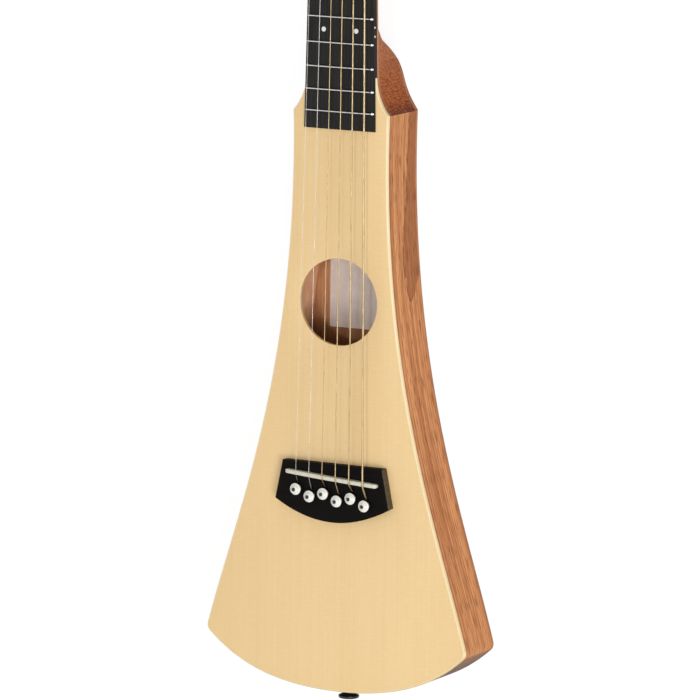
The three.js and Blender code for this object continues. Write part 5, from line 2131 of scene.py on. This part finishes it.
@dataclass
class StrapButton:
    """The black strap button at the tail, with its screw."""

    base_radius: float = 6.5
    base_thickness: float = 1.6
    waist_radius: float = 4.4
    cap_radius: float = 7.5
    cap_thickness: float = 2.4
    height: float = 8.3
    screw_radius: float = 1.9
    screw_length: float = 18.0
    head_radius: float = 3.6
    head_height: float = 1.6
    thread_turns: int = 9
    thread_pitch: float = 1.7
    thread_depth: float = 0.45
    cross_long: float = 2.0
    cross_narrow: float = 0.4

    @property
    def place(self) -> Matrix:
        """The button's frame, with Z out of the tail."""
        turn = Matrix.Rotation(math.pi / 2, 4, "X")
        return Matrix.Translation((0, -PLAN.tail_reach, PLAN.depth / 2)) @ turn

    def build(self) -> None:
        """Makes the button and its cross-head screw."""
        slip, bore, top = PLAN.slip, self.screw_radius + PLAN.slip, self.height
        low, sink, wide = top - self.cap_thickness, top - self.head_height, self.head_radius + slip
        base, thick, waist, cap = (
            self.base_radius, self.base_thickness, self.waist_radius, self.cap_radius
        )
        skin = Skin()
        skin.lathe([
            (bore, slip), (base - 0.3, slip), (base, slip + 0.3), (base, thick - 0.3),
            (base - 0.4, thick), (waist + 0.5, 1.6 * thick), (waist, 2.2 * thick),
            (waist + 0.3, low - 1.3), (waist + 1.2, low - 0.5), (cap - 0.5, low),
            (cap, low + 0.5), (cap, top - 0.9), (cap - 0.4, top - 0.25), (cap - 1.2, top),
            (wide, top), (wide, sink), (bore, sink), (bore, slip),
        ], 56)
        button = skin.piece("button", [Finish.BLACK], self.place)
        settle(button, "root", "black_plastic", "strap_button")
        foot, head = sink + slip, self.head_radius
        r, root = self.screw_radius, self.screw_radius - self.thread_depth
        profile = [(0.0, -self.screw_length), (0.5, 1.2 - self.screw_length)]
        for turn in range(self.thread_turns):
            start = 2.4 - self.screw_length + turn * self.thread_pitch
            profile += [(root, start), (root, start + 0.5), (r, start + 0.85), (root, start + 1.2)]
        profile += [(r - 0.2, foot), (head, foot), (head, top - 0.6), (head - 0.5, top - 0.2),
                    (head - 1.4, top), (0, top)]
        screw = Skin()
        screw.lathe(profile, 40)
        tools = []
        for halves in ((self.cross_narrow, self.cross_long), (self.cross_long, self.cross_narrow)):
            tool = Skin()
            tool.plate([oblong(*halves)], top - 0.9, top + 1, (CRISP, CRISP), steps=1)
            tools.append(tool.piece("cross", [], self.place))
        piece = screw.piece("button_screw", [Finish.CHROME], self.place)
        settle(carved(piece, tools), "root", "chrome", "strap_button_screw")


@dataclass
class Studio:
    """Camera, pale floor and soft light."""

    yaw: float = 0.4941
    pitch: float = 0.1572
    roll: float = 0.0117
    distance: float = 4547.75
    focal: float = 6420.27
    centre: tuple = (336.4, 470.92)
    picture: float = 700.0
    lift: float = 45.0
    sensor: float = 36.0
    ambient: float = 0.47
    lit: tuple = (0, 0.1, 0.04)
    lamps: tuple = (("key", (4.4, -1.5, 4.4), 180.0, 2.8), ("overhead", (0.9, 0.3, 4.0), 28.0, 0.2),
                    ("fill", (-1.4, -0.6, 2.8), 5.0, 2.0))
    floor_half: float = 6.0
    floor_level: float = -0.0004
    floor_glow: float = 0.875

    def camera(self) -> None:
        """Places the camera at the photograph's viewing angle."""
        back = Vector((math.sin(self.yaw) * math.cos(self.pitch), math.sin(self.pitch),
                       math.cos(self.yaw) * math.cos(self.pitch)))
        right = Vector((0, 1, 0)).cross(back).normalized()
        up = back.cross(right)
        c, s = math.cos(self.roll), math.sin(self.roll)
        right, up = right * c + up * s, up * c - right * s
        middle = self.picture / 2
        across = (self.centre[0] - middle) * self.distance / self.focal
        down = -(self.centre[1] - middle) * self.distance / self.focal
        place = back * self.distance - right * across - up * down + Vector((0, 0, self.lift))
        lens = bpy.data.cameras.new("camera")
        lens.sensor_width, lens.lens = self.sensor, self.focal * self.sensor / self.picture
        lens.clip_end = 50
        turn = Matrix((right, up, back)).transposed().to_4x4()
        camera = linked("camera", lens)
        camera.matrix_world = Matrix.Translation(place * MM) @ turn
        bpy.context.scene.camera = camera

    def lamp(self, name: str, spot: tuple, power: float, size: float) -> None:
        """Adds a square soft light that faces the guitar.

        Args:
            name: The light's name.
            spot: Its place, metres.
            power: Its power, watts.
            size: Its side, metres.
        """
        light = bpy.data.lights.new(name, "AREA")
        light.energy, light.size = power, size
        holder = linked(name, light)
        holder.location = spot
        away = Vector(spot) - Vector(self.lit)
        holder.rotation_euler = away.to_track_quat("Z", "Y").to_euler()

    def clear_rays(self, wiring: Wiring) -> Socket:
        """One for rays that show the background: from the camera, a reflection or through glass.

        Args:
            wiring: The nodes of the world or of a material.

        Returns:
            A socket that is zero or one.
        """
        path = wiring.add("ShaderNodeLightPath").outputs
        seen = wiring.math("MAXIMUM", path["Is Camera Ray"], path["Is Glossy Ray"])
        return wiring.math("MAXIMUM", seen, path["Is Transmission Ray"])

    def surroundings(self) -> None:
        """Makes the world and the floor, both white where they are seen."""
        world = bpy.data.worlds.new("studio")
        bpy.context.scene.world = world
        world.use_nodes = True
        wiring = Wiring(world.node_tree)
        background = world.node_tree.nodes["Background"]
        inputs = {0: self.clear_rays(wiring), 2: self.ambient, 3: 1.0}
        level = wiring.add("ShaderNodeMix", inputs, data_type="FLOAT").outputs[0]
        background.inputs["Color"].default_value = (1, 1, 1, 1)
        wiring.feed(background.inputs["Strength"], level)
        material = bpy.data.materials.new("floor")
        material.use_nodes = True
        nodes = Wiring(material.node_tree)
        nodes.tree.nodes.remove(nodes.tree.nodes["Principled BSDF"])
        plain = nodes.add("ShaderNodeBsdfDiffuse", {"Color": shade(226, 225, 222)})
        grey = nodes.add("ShaderNodeBsdfDiffuse", {"Color": (0.2, 0.2, 0.2, 1)})
        inputs = {"Color": (1, 1, 1, 1), "Strength": self.floor_glow}
        glow = nodes.add("ShaderNodeEmission", inputs)
        seen = nodes.add("ShaderNodeAddShader", {0: grey.outputs[0], 1: glow.outputs[0]})
        inputs = {0: self.clear_rays(nodes), 1: plain.outputs[0], 2: seen.outputs[0]}
        both = nodes.add("ShaderNodeMixShader", inputs)
        nodes.feed(nodes.tree.nodes["Material Output"].inputs["Surface"], both.outputs[0])
        mesh = bpy.data.meshes.new("floor")
        corners = lifted(oblong(self.floor_half, self.floor_half), self.floor_level)
        mesh.from_pydata(corners.tolist(), [], [(0, 1, 2, 3)])
        mesh.materials.append(material)
        linked("floor", mesh)

    def build(self) -> None:
        """Sets up the whole studio."""
        bpy.context.scene.view_settings.view_transform = "Standard"
        self.camera()
        self.surroundings()
        for lamp in self.lamps:
            self.lamp(*lamp)
        LOG.info("studio is set up")


def main() -> None:
    """Builds the studio, then each sub-assembly in order."""
    logging.basicConfig(level=logging.INFO, format="%(name)s: %(message)s")
    Studio().build()
    scatter = scatter_recipe()
    pins = Pins()
    neck = Neck()
    tuners = Tuners(neck, scatter)
    Body(pins).build()
    neck.build(tuners.posts(), tuners.post_radius + PLAN.slip)
    Fretboard(scatter).build()
    Bridge(pins).build()
    tuners.build()
    Strings(pins, tuners).build()
    StrapButton().build()


if __name__ == "__main__":
    main()
